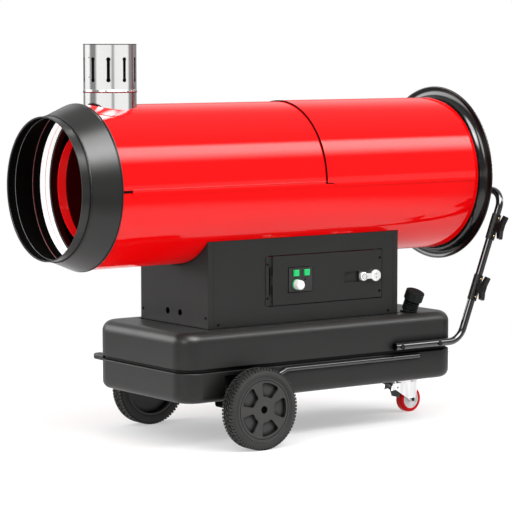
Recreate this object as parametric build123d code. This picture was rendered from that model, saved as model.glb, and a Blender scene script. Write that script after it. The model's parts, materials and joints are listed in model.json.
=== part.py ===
from build123d import *
import os
from math import cos, radians, sin, sqrt

# Indirect-fired oil heater: a long drum on a control box, a fuel tank, two wheels and a caster.
# Millimetres, +Z up. The outlet looks along -X and the control panel along -Y.
# Places along the body are distances from the outlet rim, turned into X by at().

# Drum and its sheet metal
CASING_R = 232.0
SHEET = 1.5
SEAT = 0.2
CASING_LENGTH = 1299.0
SEAM_DROP = 2.0
COVER_STEP = 3.0
REAR_COVER_LENGTH = 570.0
HOOP_SHOW = 15.0
COVER_LAP = 22.0
HOOP_SHEET = 2.0
FRONT_HOOP_LENGTH = 46.0
REAR_HOOP_LENGTH = 53.0
HEM_HEIGHT = 9.0
HEM_PROUD = 2.0
HEM_START = 39.0
HEM_BREAK = 32.0
SLIT_HEIGHT = 5.0

# Outlet adapter
SPIGOT_R = 203.0
SPIGOT_LENGTH = 26.0
CONE_LENGTH = 78.0
COLLAR_LENGTH = 8.0
ADAPTER_SHEET = 3.0
ADAPTER_FIT = 0.4
EDGE_BEAD_R = 2.0

# Inlet bell mouth and its guard
FLARE_R = 23.0
FLARE_TURN = 28.0
INLET_SHEET = 2.0
INLET_BEAD_R = 2.6
INLET_COLLAR = 12.0
GUARD_WIRE_R = 2.0
GUARD_RINGS = 6
GUARD_SPOKES = 6

# Air path inside the drum: each tube is set by its gap to the one outside it
LINER_GAP = 17.0
LINER_REAR_SETBACK = 114.0
LINER_RING_GAP = 9.5
LINER_RING_LENGTH = 30.0
LINER_RING_SETBACK = 18.0
AIR_GAP = 15.0
JACKET_DEPTH = 23.0
JACKET_WALL = 2.0
JACKET_SETBACK = 77.0
JACKET_FOOT_WIDTH = 20.0
LIP_NARROWING = 16.0
LIP_LENGTH = 37.0
CHAMBER_GAP = 52.0
CHAMBER_SETBACK = 249.0
CHAMBER_TAIL = 59.0
CHAMBER_DOME = 60.0
CHAMBER_WALL = 3.0
DUCT_R = 34.0
DUCT_SETBACK = 80.0
DUCTS = 3

# Flue
FLUE_R = 75.0
FLUE_WALL = 1.2
FLUE_SETBACK = 116.5
FLUE_JOINT_RISE = 43.0
SLEEVE_HEIGHT = 128.0
SLEEVE_LAP = 18.0
FLUE_END_LENGTH = 30.0
FLUE_END_SINK = 0.8
FLUE_BEAD_R = 1.6
SLOTS = 10
SLOT_WIDTH = 9.0
SLOT_END_R = 6.0
SLOT_HEIGHT = 70.0
SLOT_RISE = 21.0
SLOT_PHASE = 234.0
FLUE_HOLE_GAP = 1.0
STUB_RISE = 8.0
STUB_GAP = 3.5

# Burner, motor and fan
BLAST_R = 45.0
BLAST_REACH = 40.0
BURNER_R = 62.0
BURNER_LENGTH = 105.0
BURNER_FLANGE_R = 82.0
BURNER_FLANGE = 6.0
PUMP_SETBACK = 50.0
SADDLE_DEPTH = 8.0
PUMP_SIZE = 52.0
PUMP_WIDTH = 60.0
TRANSFORMER_WIDTH = 72.0
TRANSFORMER_HEIGHT = 62.0
MOTOR_R = 62.0
MOTOR_LENGTH = 150.0
MOTOR_GAP = 45.0
SHAFT_R = 7.0
RUNNING_FIT = 0.05
FAN_TIP_GAP = 8.5
FAN_HUB_R = 45.0
FAN_HUB_LENGTH = 54.0
FAN_SETBACK = 67.0
FAN_GAP = 22.0
FAN_BLADES = 6
BLADE_PITCH = 32.0
BLADE_CHORD = 78.0
BLADE_SHEET = 2.5
BRACKET_ARMS = 3
BRACKET_LENGTH = 36.0

# Fuel lines, from the tank to the pump under the burner
LINE_OFFSETS = (-14.0, 14.0)
LINE_R = 4.0
LINE_HOLE_R = 6.0
LINE_DIP = 60.0
FILTER_RISE = 60.0
FILTER_HEIGHT = 60.0
FILTER_R = 20.0

# Control box
BOX_SETBACK = 332.0
BOX_LENGTH = 698.0
BOX_WIDTH = 345.0
BOX_RISE = 175.0
END_FLANGE = 18.5
FLANGE_GAP = 0.4
ENTRY_R = 9.5
ENTRY_PITCH = 63.0
ENTRY_RISE = 36.0
BODY_FIT = 0.3
TRAY_INSET = 30.0
TRAY_DEPTH = 70.0
TRAY_HEIGHT = 130.0

# Control door, seen from the -Y side
DOOR_SETBACK = 228.0
DOOR_WIDTH = 407.0
DOOR_HEIGHT = 143.0
DOOR_RISE = 53.0
DOOR_GAP = 2.5
DOOR_FLANGE = 5.0
HINGE_LEAF = 12.0
HINGE_OFFSET = 6.0
KNUCKLE_R = 4.0
HINGE_PIN_R = 2.0
KNUCKLE_LENGTH = 30.0
LEAF_SHEET = 1.2

# Screws of the box and of its hinge
SCREW_R = 3.0
LEAF_SCREW_INSET = 22.0
END_SCREW_INSET = 12.0
END_SCREW_RISE = 31.0
SIDE_SCREW_INSET = 36.0
SIDE_SCREW_RISE = 10.0

# Controls on the door
WINDOW_SETBACK = 58.0
WINDOW_WIDTH = 90.0
WINDOW_HEIGHT = 72.0
WINDOW_RISE = 35.0
BUTTON_INSET = 27.5
BUTTON_DROP = 16.5
KNOB_INSET = 30.0
KNOB_RISE = 21.5
PLATE_LAP = 5.0
BUTTON = 18.4
BUTTON_PITCH = 38.5
BUTTON_PROUD = 4.5
BUTTON_FIT = 0.4
BUTTON_RIM = 2.0
SWITCH_DEPTH = 36.0
SWITCH_WALL = 4.0
SWITCH_MARGIN = 8.0
SPINDLE_REACH = 12.0
KNOB_R = 14.5
KNOB_DEPTH = 18.0
DIAL_R = 18.0
DIAL_SHEET = 2.5
SPINDLE_R = 3.0
LATCH_R = 17.0
LATCH_TIP_R = 13.0
LATCH_SPAN = 48.0
LATCH_INSET = 26.0
LATCH_RISE = 66.5
LATCH_BAR = 16.0
LATCH_PROUD = 11.0
LATCH_SHAFT_R = 5.0
CAM_REACH = 40.0
CAM_HALF = 9.0
CAM_SHEET = 3.0
CUP_WIDTH = 55.0
CUP_HEIGHT = 33.0
CUP_DEPTH = 8.0

# Fuel tank
TANK_OVERHANG = 124.0
TANK_LENGTH = 1005.0
TANK_WIDTH = 472.0
TANK_CORNER_R = 63.0
TANK_UPPER_HEIGHT = 104.0
TANK_LOWER_HEIGHT = 88.0
GROOVE_HEIGHT = 10.0
GROOVE_DEPTH = 8.0
TANK_WALL = 4.0
TANK_TOP_R = 32.0
TANK_BOTTOM_R = 24.0
DECK_DROP = 8.0
DECK_MARGIN = 8.0
ARCH_DEPTH = 51.0
ARCH_LENGTH = 100.0
ARCH_FRONT_SLOPE = 36.0
ARCH_REAR_SLOPE = 29.0
ARCH_CORNER_R = 20.0
ARCH_ROOF = 12.0
RAIL_R = 7.0
RAIL_LENGTH = 498.0
RAIL_SETBACK = 152.0
RAIL_PROUD = 8.0
RAIL_DROP = 5.0
RAIL_END_RUN = 26.0
RAIL_END_DROP = 12.0
NECK_R = 18.5
NECK_WALL = 3.5
NECK_LENGTH = 54.0
NECK_RIB_RISE = 1.5
NECK_RIB_WIDTH = 2.2
NECK_RIB_PITCH = 7.0
NECK_RIBS = 3
NECK_FOOT_RISE = 7.0
NECK_FOOT_HEIGHT = 5.0
NECK_SETBACK = 46.0
NECK_INSET = 66.0
NECK_LEAN_OUT = 22.0
NECK_LEAN_BACK = 5.0
CAP_R = 29.5
CAP_HEIGHT = 26.0
CAP_TOP = 14.0
CAP_LOBES = 10
CAP_NOTCH_R = 4.5
CAP_CROWN = 1.5
DRAIN_R = 16.0
DRAIN_COLLAR = 4.0
DRAIN_HEAD = 9.0
DRAIN_SETBACK = 120.0
DRAIN_OFFSET = 90.0
LUG_REACH = 40.0
LUG_WIDTH = 34.0
LUG_HEIGHT = 18.0
LUG_SETBACK = 32.0
LUG_HOLE_R = 6.0
LUG_ROUNDING = 6.0

# Wheels and axle
WHEEL_R = 117.0
WHEEL_WIDTH = 48.0
WHEEL_GAP = 25.0
WHEEL_ROUND = 7.0
RIM_R = 90.0
RIM_SINK = 1.5
RIM_WALL = 7.0
RIM_WELL = 20.0
POCKET_INSET = 13.0
POCKETS = 5
POCKET_DEPTH = 10.0
HUB_R = 24.0
HUB_RECESS_R = 11.0
HUB_RECESS = 13.0
AXLE_R = 8.0
AXLE_END_SINK = 8.0
AXLE_HEADROOM = 13.0
AXLE_SETBACK = 224.0
BRACKET_SPREAD = 150.0
BRACKET_WIDTH = 60.0
BRACKET_SHEET = 4.0
BRACKET_LENGTH = 90.0
BRACKET_CHEEK = 10.0
BRACKET_BOLT_R = 7.0

# Push handle and cord hooks
TUBE_R = 11.2
TUBE_WALL = 1.8
TUBE_LAP = 253.0
HAND_GAP = 51.0
HANDLE_DROP = 49.0
HANDLE_LOW_BEND = 60.0
HANDLE_TOP_BEND = 55.0
TUBE_RISE = 1.8
TUBE_BOLT_INSET = 20.0
TUBE_BOLT_SPAN = 146.0
TUBE_BOLT_R = 4.0
TUBE_BOLT_HEAD = 5.0
TUBE_BOLT_HEAD_R = 7.0
HOOK_LENGTH = 80.0
HOOK_WIDTH = 15.0
HOOK_REACH = 50.0
HOOK_WALL = 3.6
HOOK_SPAN = 70.0
HOOK_STEM = 11.0
HOOK_HORN = 11.0
HOOK_DISH = 6.0
HOOK_DROP = 108.0
HOOK_PITCH = 182.0
HOOK_SCREW_INSET = 12.0

# Caster
CASTER_R = 40.0
CASTER_WIDTH = 30.0
CROWN_GAP = 28.0
CASTER_TRAIL = 23.0
CASTER_INSET = 17.0
CASTER_PLATE_LENGTH = 84.0
CASTER_PLATE_WIDTH = 64.0
FORK_SHEET = 2.5
FORK_GAP = 3.0
PEDAL_PIN_R = 3.0
PEDAL_REACH = 32.0
PEDAL_LEAD = 36.0
PEDAL_DROP = 26.0
CASTER_AXLE_R = 4.0
RACE_R = 28.0
PLATE_SHEET = 3.0
HAT_FLANGE = 40.0

# Places that follow from the sizes
CASING_FRONT = SPIGOT_LENGTH + CONE_LENGTH
CASING_REAR = CASING_FRONT + CASING_LENGTH
INLET_REAR = CASING_REAR + SEAT + INLET_SHEET + FLARE_R + INLET_SHEET
BAR_PLACE = INLET_REAR + HAND_GAP + TUBE_R
OVERALL_LENGTH = BAR_PLACE + TUBE_R
COVER_REAR = CASING_REAR - HOOP_SHOW
REAR_COVER_FRONT = COVER_REAR - REAR_COVER_LENGTH
HOOP_R = CASING_R - SHEET - SEAT
BOX_FRONT = CASING_FRONT + BOX_SETBACK
BOX_REAR = BOX_FRONT + BOX_LENGTH
BOX_SIDE = BOX_WIDTH / 2
TANK_FRONT = BOX_FRONT - TANK_OVERHANG
TANK_REAR = TANK_FRONT + TANK_LENGTH
TANK_SIDE = TANK_WIDTH / 2
TANK_BOTTOM = WHEEL_R + AXLE_R + AXLE_HEADROOM
GROOVE_Z = TANK_BOTTOM + TANK_LOWER_HEIGHT
TANK_SEAM_Z = GROOVE_Z + GROOVE_HEIGHT
TANK_TOP = TANK_SEAM_Z + TANK_UPPER_HEIGHT
DECK_Z = TANK_TOP - DECK_DROP
AXIS_Z = TANK_TOP + BOX_RISE + CASING_R
SEAM_Z = AXIS_Z - SEAM_DROP
LINER_R = CASING_R - LINER_GAP
LINER_RING_R = CASING_R - LINER_RING_GAP
JACKET_R = LINER_R - AIR_GAP
JACKET_BORE_R = JACKET_R - JACKET_DEPTH
LIP_R = JACKET_BORE_R - LIP_NARROWING
CHAMBER_R = JACKET_BORE_R - CHAMBER_GAP
FAN_R = LINER_R - SHEET - FAN_TIP_GAP
LINER_FRONT = CASING_FRONT + LINER_RING_SETBACK + LINER_RING_LENGTH
LINER_REAR = CASING_REAR - LINER_REAR_SETBACK
FAN_FRONT = CASING_REAR - FAN_SETBACK - FAN_HUB_LENGTH
MOTOR_REAR = FAN_FRONT - FAN_GAP
MOTOR_FRONT = MOTOR_REAR - MOTOR_LENGTH
BURNER_REAR = MOTOR_FRONT - MOTOR_GAP
CHAMBER_REAR = BURNER_REAR - BURNER_LENGTH
JACKET_FRONT = CASING_FRONT + JACKET_SETBACK
JACKET_REAR = CHAMBER_REAR - CHAMBER_TAIL
CHAMBER_FRONT = JACKET_FRONT + CHAMBER_SETBACK
PUMP_PLACE = CHAMBER_REAR + PUMP_SETBACK
PUMP_TOP = AXIS_Z - BURNER_R + SADDLE_DEPTH
PUMP_BOTTOM = PUMP_TOP - PUMP_SIZE
STUB_TOP = AXIS_Z + JACKET_R + STUB_RISE
FLUE_PLACE = CASING_FRONT + FLUE_SETBACK
STUB_R = FLUE_R + SEAT + JACKET_WALL
FLUE_JOINT_Z = AXIS_Z + CASING_R + FLUE_JOINT_RISE
FLUE_TOP = FLUE_JOINT_Z + SLEEVE_HEIGHT
DOOR_LEFT = BOX_FRONT + DOOR_SETBACK
DOOR_RIGHT = DOOR_LEFT + DOOR_WIDTH
DOOR_BOTTOM = TANK_TOP + DOOR_RISE
DOOR_TOP = DOOR_BOTTOM + DOOR_HEIGHT
HINGE_PLACE = DOOR_LEFT - HINGE_OFFSET
WINDOW_LEFT = DOOR_LEFT + WINDOW_SETBACK
WINDOW_RIGHT = WINDOW_LEFT + WINDOW_WIDTH
WINDOW_BOTTOM = DOOR_BOTTOM + WINDOW_RISE
WINDOW_TOP = WINDOW_BOTTOM + WINDOW_HEIGHT
BUTTON_Z = WINDOW_TOP - BUTTON_DROP
BUTTON_PLACES = (WINDOW_LEFT + BUTTON_INSET, WINDOW_LEFT + BUTTON_INSET + BUTTON_PITCH)
KNOB_PLACE = WINDOW_LEFT + KNOB_INSET
KNOB_Z = WINDOW_BOTTOM + KNOB_RISE
LATCH_PLACE = DOOR_RIGHT - LATCH_INSET
LATCH_Z = DOOR_BOTTOM + LATCH_RISE
CUP_RIGHT = LATCH_PLACE - LATCH_SPAN - LATCH_TIP_R
AXLE_PLACE = TANK_FRONT + AXLE_SETBACK
WHEEL_INNER = TANK_SIDE + WHEEL_GAP
WHEEL_OUTER = WHEEL_INNER + WHEEL_WIDTH
TUBE_Y = TANK_SIDE + SEAT + TUBE_R
TUBE_Z = TANK_SEAM_Z + TUBE_R + TUBE_RISE
BAR_Z = AXIS_Z - HANDLE_DROP
HOOK_HEIGHTS = (BAR_Z - TUBE_Z - HOOK_DROP, BAR_Z - TUBE_Z - HOOK_DROP - HOOK_PITCH)
KINGPIN_PLACE = TANK_REAR - CASTER_INSET
CASTER_HEIGHT = 2 * CASTER_R + CROWN_GAP
TUBE_START = TANK_REAR - TUBE_LAP
TUBE_BOLT_PLACES = (TUBE_START + TUBE_BOLT_INSET, TUBE_START + TUBE_BOLT_INSET + TUBE_BOLT_SPAN)
BOX_TOP = AXIS_Z - sqrt((CASING_R + BODY_FIT) ** 2 - (BOX_SIDE - SHEET) ** 2)


def at(place):
    return place - OVERALL_LENGTH / 2


def block(x, y, z):
    size = [pair[1] - pair[0] for pair in (x, y, z)]
    middle = [(pair[1] + pair[0]) / 2 for pair in (x, y, z)]
    return Pos(*middle) * Box(*size)


def rod(start, end, radius):
    run = Vector(*end) - Vector(*start)
    return Plane(origin=start, z_dir=run) * extrude(Circle(radius), run.length)


def body_rod(radius, start, end):
    return rod((at(start), 0, AXIS_Z), (at(end), 0, AXIS_Z), radius)


def body_tube(outer, inner, start, end):
    return body_rod(outer, start, end) - body_rod(inner, start - 1, end + 1)


def body_profile(points):
    corners = [(at(place), AXIS_Z + radius) for place, radius in points]
    return Plane.XZ * make_face(Polyline(*corners, close=True))


def body_bead(place, radius, bead):
    return Plane.XZ * (Pos(at(place), AXIS_Z + radius) * Circle(bead))


def body_turned(faces):
    axis = Axis((0, 0, AXIS_Z), (1, 0, 0))
    solid = revolve(faces[0], axis=axis)
    for face in faces[1:]:
        solid += revolve(face, axis=axis)
    return solid


def above_seam(start, end):
    span = 2 * CASING_R
    return block((at(start), at(end)), (-span, span), (SEAM_Z, AXIS_Z + span))


def around_body(angle, shape):
    return shape.rotate(Axis((0, 0, AXIS_Z), (1, 0, 0)), angle)


# Drum


def make_outlet_adapter():
    collar_r = CASING_R + ADAPTER_FIT
    end = CASING_FRONT + COLLAR_LENGTH
    sheet = body_profile([
        (0, SPIGOT_R - ADAPTER_SHEET),
        (0, SPIGOT_R),
        (SPIGOT_LENGTH, SPIGOT_R),
        (SPIGOT_LENGTH + 2, SPIGOT_R + 2),
        (CASING_FRONT, collar_r + ADAPTER_SHEET),
        (end, collar_r + ADAPTER_SHEET),
        (end, collar_r),
        (CASING_FRONT - 1, collar_r),
        (SPIGOT_LENGTH + 3, SPIGOT_R - 1),
        (SPIGOT_LENGTH, SPIGOT_R - ADAPTER_SHEET),
    ])
    mouth_bead = body_bead(EDGE_BEAD_R, SPIGOT_R - EDGE_BEAD_R - SEAT, EDGE_BEAD_R)
    cone_bead = body_bead(SPIGOT_LENGTH + EDGE_BEAD_R + 0.5, SPIGOT_R + EDGE_BEAD_R, EDGE_BEAD_R)
    collar_bead = body_bead(end - EDGE_BEAD_R, collar_r + ADAPTER_SHEET, EDGE_BEAD_R)
    return body_turned([sheet, mouth_bead, cone_bead, collar_bead])


def make_hoop(start, end):
    return body_tube(HOOP_R, HOOP_R - HOOP_SHEET, start, end)


def make_front_hoop():
    hoop = make_hoop(CASING_FRONT, CASING_FRONT + FRONT_HOOP_LENGTH)
    return hoop - flue_hole(FLUE_R + FLUE_HOLE_GAP)


def line_hole(offset, radius):
    place = at(PUMP_PLACE)
    return rod((place, offset, TANK_SEAM_Z), (place, offset, AXIS_Z), radius)


def make_lower_casing():
    shell = body_tube(CASING_R, CASING_R - SHEET, CASING_FRONT, COVER_REAR)
    shell -= above_seam(CASING_FRONT - 1, COVER_REAR + 1)
    front = (at(CASING_FRONT + HEM_START), at(REAR_COVER_FRONT + HEM_BREAK - HEM_HEIGHT))
    rear = (at(REAR_COVER_FRONT + HEM_BREAK), at(COVER_REAR))
    for span, proud in ((front, HEM_PROUD), (rear, COVER_STEP)):
        ring = body_tube(CASING_R + proud, CASING_R - SHEET, CASING_FRONT, COVER_REAR)
        wide = 2 * CASING_R
        shell += ring & block(span, (-wide, wide), (SEAM_Z - HEM_HEIGHT, SEAM_Z))
    for offset in LINE_OFFSETS:
        shell -= line_hole(offset, LINE_HOLE_R)
    return shell


def flue_rod(radius, low, high):
    place = at(FLUE_PLACE)
    return rod((place, 0, low), (place, 0, high), radius)


def flue_hole(radius):
    return flue_rod(radius, AXIS_Z, FLUE_TOP)


def make_front_cover():
    end = REAR_COVER_FRONT + COVER_LAP
    shell = body_tube(CASING_R, CASING_R - SHEET, CASING_FRONT, end)
    shell &= above_seam(CASING_FRONT - 1, end + 1)
    slit = (at(CASING_FRONT - 1), at(CASING_FRONT + HEM_START))
    wide = 2 * CASING_R
    shell -= block(slit, (-wide, wide), (SEAM_Z - 1, SEAM_Z + SLIT_HEIGHT))
    return shell - flue_hole(FLUE_R + FLUE_HOLE_GAP)


def make_rear_cover():
    outer = CASING_R + COVER_STEP
    shell = body_tube(outer, outer - SHEET, REAR_COVER_FRONT, COVER_REAR)
    lip = body_tube(outer, HOOP_R + SEAT, COVER_REAR - SHEET, COVER_REAR)
    return (shell + lip) & above_seam(REAR_COVER_FRONT - 1, COVER_REAR + 1)


def make_inlet_ring():
    root = CASING_REAR + SEAT
    turn = root + INLET_SHEET
    middle_r = CASING_R + FLARE_R
    outer_r = FLARE_R + INLET_SHEET

    def point(radius, angle):
        return (at(turn) + radius * cos(angle), AXIS_Z + middle_r + radius * sin(angle))

    first, last = radians(-90), radians(FLARE_TURN)
    half = (first + last) / 2
    inside = ThreePointArc(point(FLARE_R, first), point(FLARE_R, half), point(FLARE_R, last))
    outside = ThreePointArc(point(outer_r, last), point(outer_r, half), point(outer_r, first))
    edges = [
        inside,
        Line(inside @ 1, outside @ 0),
        outside,
        Line(outside @ 1, inside @ 0),
    ]
    flare = Plane.XZ * make_face(edges)
    bead_r = middle_r + (FLARE_R + INLET_SHEET / 2) * sin(last)
    bead_place = turn + (FLARE_R + INLET_SHEET / 2) * cos(last)
    collar_r = HOOP_R - HOOP_SHEET - SEAT
    flange = body_profile([
        (root - INLET_COLLAR, collar_r),
        (root, collar_r),
        (root, CASING_R),
        (turn, CASING_R),
        (turn, collar_r - INLET_SHEET),
        (root - INLET_COLLAR, collar_r - INLET_SHEET),
    ])
    return body_turned([flange, flare, body_bead(bead_place, bead_r, INLET_BEAD_R)])


def make_inlet_guard():
    place = CASING_REAR + SEAT - INLET_COLLAR / 2
    span = (place - GUARD_WIRE_R, place + GUARD_WIRE_R)
    outer = HOOP_R - HOOP_SHEET - INLET_SHEET - 2 * SEAT
    step = (outer - GUARD_WIRE_R) / (GUARD_RINGS + 1)
    guard = body_rod(step, *span)
    for number in range(GUARD_RINGS):
        edge = outer - number * step
        guard += body_tube(edge, edge - 2 * GUARD_WIRE_R, *span)
    bar = block(
        (at(span[0]), at(span[1])),
        (-GUARD_WIRE_R, GUARD_WIRE_R),
        (AXIS_Z + step / 2, AXIS_Z + outer - GUARD_WIRE_R),
    )
    for number in range(GUARD_SPOKES):
        guard += around_body(number * 360 / GUARD_SPOKES, bar)
    return guard


# Air path


def make_liner_ring():
    start = LINER_FRONT - LINER_RING_LENGTH
    ring = body_tube(LINER_RING_R, LINER_RING_R - SHEET, start, LINER_FRONT)
    rib_place = (start + LINER_FRONT) / 2
    ring += body_turned([body_bead(rib_place, LINER_RING_R, SHEET)])
    return ring - flue_hole(FLUE_R + FLUE_HOLE_GAP)


def make_inner_liner():
    inner = LINER_R - SHEET
    liner = body_tube(LINER_R, inner, LINER_FRONT, LINER_REAR)
    liner += body_tube(HOOP_R, inner, LINER_REAR - SHEET, LINER_REAR)
    liner += body_tube(HOOP_R, inner, LINER_FRONT, LINER_FRONT + SHEET)
    liner -= flue_hole(FLUE_R + SHEET + STUB_GAP)
    for offset in LINE_OFFSETS:
        liner -= line_hole(offset, LINE_HOLE_R)
    return liner


def make_jacket():
    lip_start = JACKET_FRONT - LIP_LENGTH
    outside = body_profile([
        (lip_start, LIP_R),
        (JACKET_FRONT, JACKET_BORE_R),
        (JACKET_REAR, JACKET_BORE_R),
        (JACKET_REAR, JACKET_R),
        (JACKET_FRONT, JACKET_R),
        (lip_start, LIP_R + JACKET_WALL),
    ])
    inner_wall = JACKET_BORE_R + JACKET_WALL
    jacket = body_turned([outside])
    jacket += flue_rod(STUB_R, AXIS_Z + inner_wall, STUB_TOP)
    jacket -= flue_rod(FLUE_R + SEAT, AXIS_Z + inner_wall + 1, STUB_TOP + 1)
    cavity = (JACKET_FRONT + JACKET_WALL, JACKET_REAR - JACKET_WALL)
    jacket -= body_tube(JACKET_R - JACKET_WALL, inner_wall, *cavity)
    for duct in duct_rods(DUCT_R - JACKET_WALL, JACKET_BORE_R / 2, inner_wall + JACKET_WALL):
        jacket -= duct
    half = JACKET_FOOT_WIDTH / 2
    reach = sqrt((LINER_R - SHEET - SEAT) ** 2 - half ** 2)
    for place in (JACKET_FRONT + half, JACKET_REAR - 2 * JACKET_FOOT_WIDTH):
        foot = block(
            (at(place), at(place + JACKET_FOOT_WIDTH)),
            (-half, half),
            (AXIS_Z + JACKET_R - 1, AXIS_Z + reach),
        )
        for angle in (60, 180, 300):
            jacket += around_body(angle, foot)
    return jacket


def duct_rods(radius, low, high):
    place = at(JACKET_REAR - DUCT_SETBACK)
    upright = rod((place, 0, AXIS_Z + low), (place, 0, AXIS_Z + high), radius)
    return [around_body(number * 360 / DUCTS, upright) for number in range(DUCTS)]


def make_chamber():
    chamber = body_rod(CHAMBER_R, CHAMBER_FRONT, CHAMBER_REAR)
    chamber = fillet(chamber.edges().group_by(Axis.X)[0], CHAMBER_DOME)
    for duct in duct_rods(DUCT_R, CHAMBER_R / 2, JACKET_BORE_R):
        chamber += duct & body_rod(JACKET_BORE_R - SEAT, CHAMBER_FRONT, CHAMBER_REAR)
    inside = (CHAMBER_FRONT + CHAMBER_WALL, CHAMBER_REAR - CHAMBER_WALL)
    room = body_rod(CHAMBER_R - CHAMBER_WALL, *inside)
    chamber -= fillet(room.edges().group_by(Axis.X)[0], CHAMBER_DOME - CHAMBER_WALL)
    for duct in duct_rods(DUCT_R - JACKET_WALL, CHAMBER_R / 2, JACKET_R):
        chamber -= duct
    return chamber - body_rod(BLAST_R + BODY_FIT, CHAMBER_REAR - 2 * CHAMBER_WALL, CHAMBER_REAR + 1)


# Flue


def flue_tube(outer, low, high):
    return flue_rod(outer, low, high) - flue_rod(outer - FLUE_WALL, low - 1, high + 1)


def flue_bead(radius, height):
    ring = Plane.XZ * (Pos(at(FLUE_PLACE) + radius, height) * Circle(FLUE_BEAD_R))
    return revolve(ring, axis=Axis((at(FLUE_PLACE), 0, 0), (0, 0, 1)))


def make_flue_spigot():
    foot = AXIS_Z + JACKET_R - STUB_RISE / 2
    shoulder = FLUE_JOINT_Z - 2 * FLUE_BEAD_R - SEAT
    neck_foot = shoulder - 2 * FLUE_BEAD_R
    neck_r = FLUE_R - FLUE_WALL - SEAT
    bore = neck_r - FLUE_WALL / 2
    step = flue_rod(FLUE_R, neck_foot, shoulder) - flue_rod(bore, neck_foot - 1, shoulder + 1)
    spigot = flue_tube(FLUE_R, foot, shoulder) + step
    spigot += flue_tube(neck_r, neck_foot, FLUE_JOINT_Z + SLEEVE_LAP)
    return spigot + flue_bead(FLUE_R - FLUE_WALL / 2, shoulder - FLUE_BEAD_R)


def flue_slot():
    low = FLUE_JOINT_Z + SLOT_RISE
    high = low + SLOT_HEIGHT
    outline = Pos(0, (low + high) / 2) * Rectangle(SLOT_WIDTH, SLOT_HEIGHT - 2 * SLOT_END_R)
    for height in (low + SLOT_END_R, high - SLOT_END_R):
        outline += Pos(0, height) * Circle(SLOT_END_R)
    cutter = extrude(Plane.XZ * outline, FLUE_R + 10)
    return Pos(at(FLUE_PLACE), 0, 0) * cutter


def make_flue_sleeve():
    foot = FLUE_JOINT_Z - 2 * FLUE_BEAD_R
    inner = FLUE_R - FLUE_WALL
    end_foot = FLUE_TOP - FLUE_END_LENGTH
    outline = [
        (inner, foot),
        (FLUE_R, foot),
        (FLUE_R, end_foot - 2),
        (FLUE_R - FLUE_END_SINK, end_foot),
        (FLUE_R - FLUE_END_SINK, FLUE_TOP),
        (inner - FLUE_END_SINK, FLUE_TOP),
        (inner - FLUE_END_SINK, end_foot),
        (inner, end_foot - 2),
    ]
    points = [(at(FLUE_PLACE) + radius, height) for radius, height in outline]
    axis = Axis((at(FLUE_PLACE), 0, 0), (0, 0, 1))
    sleeve = revolve(make_face(Plane.XZ * Polyline(*points, close=True)), axis=axis)
    bead = flue_bead(FLUE_R - FLUE_WALL / 2, foot + FLUE_BEAD_R)
    sleeve += bead - flue_rod(inner, foot - 1, FLUE_TOP + 1)
    for number in range(SLOTS):
        turn = SLOT_PHASE - 270 + number * 360 / SLOTS
        sleeve -= flue_slot().rotate(axis, turn)
    return sleeve


# Burner, motor and fan


def make_burner():
    face = CHAMBER_REAR + SEAT
    burner = body_rod(BLAST_R, CHAMBER_REAR - BLAST_REACH, face + 1)
    burner += body_rod(BURNER_FLANGE_R, face, face + BURNER_FLANGE)
    burner += body_rod(BURNER_R, face, BURNER_REAR)
    burner -= body_rod(BLAST_R - CHAMBER_WALL, CHAMBER_REAR - BLAST_REACH - 1, CHAMBER_REAR)
    rear_edge = burner.edges().filter_by(GeomType.CIRCLE).sort_by(Axis.X)[-1]
    return fillet(rear_edge, SADDLE_DEPTH)


def make_fuel_pump():
    half = PUMP_SIZE / 2
    side = PUMP_WIDTH / 2
    pump = block((at(PUMP_PLACE - half), at(PUMP_PLACE + half)), (-side, side), (PUMP_BOTTOM, PUMP_TOP))
    pump -= body_rod(BURNER_R + SEAT, CHAMBER_REAR, BURNER_REAR + 1)
    middle = (PUMP_BOTTOM + PUMP_TOP) / 2
    return pump + rod((at(PUMP_PLACE), -side, middle), (at(PUMP_PLACE), -side - half, middle), half / 2)


def make_transformer():
    base = AXIS_Z + BURNER_R - SADDLE_DEPTH
    side = TRANSFORMER_WIDTH / 2
    x = (at(CHAMBER_REAR + 2 * BURNER_FLANGE), at(BURNER_REAR - 2 * BURNER_FLANGE))
    case = block(x, (-side, side), (base, base + TRANSFORMER_HEIGHT))
    case = fillet(case.edges().filter_by(Axis.Z), BURNER_FLANGE)
    return case - body_rod(BURNER_R + SEAT, CHAMBER_REAR, BURNER_REAR + 1)


def make_motor():
    motor = body_rod(MOTOR_R, MOTOR_FRONT, MOTOR_REAR)
    motor = fillet(motor.edges().filter_by(GeomType.CIRCLE), MOTOR_R / 5)
    motor += body_rod(MOTOR_R / 3, BURNER_REAR + SEAT, MOTOR_FRONT + 1)
    return motor - body_rod(SHAFT_R + RUNNING_FIT, MOTOR_FRONT + MOTOR_LENGTH / 5, MOTOR_REAR + 1)


def make_motor_bracket():
    middle = (MOTOR_FRONT + MOTOR_REAR) / 2
    half = BRACKET_LENGTH / 2
    bracket = body_tube(MOTOR_R + BRACKET_SHEET, MOTOR_R + SEAT, middle - half, middle + half)
    reach = LINER_R - SHEET - SEAT
    arm = block(
        (at(middle - half), at(middle + half)),
        (-BRACKET_SHEET / 2, BRACKET_SHEET / 2),
        (AXIS_Z + MOTOR_R + BRACKET_SHEET / 2, AXIS_Z + reach - BRACKET_SHEET),
    )
    foot = block(
        (at(middle - half), at(middle + half)),
        (-half, half),
        (AXIS_Z + reach - 2 * BRACKET_SHEET, AXIS_Z + reach),
    )
    foot &= body_rod(reach, middle - half, middle + half)
    for number in range(BRACKET_ARMS):
        bracket += around_body(60 + number * 360 / BRACKET_ARMS, arm + foot)
    return bracket


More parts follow.
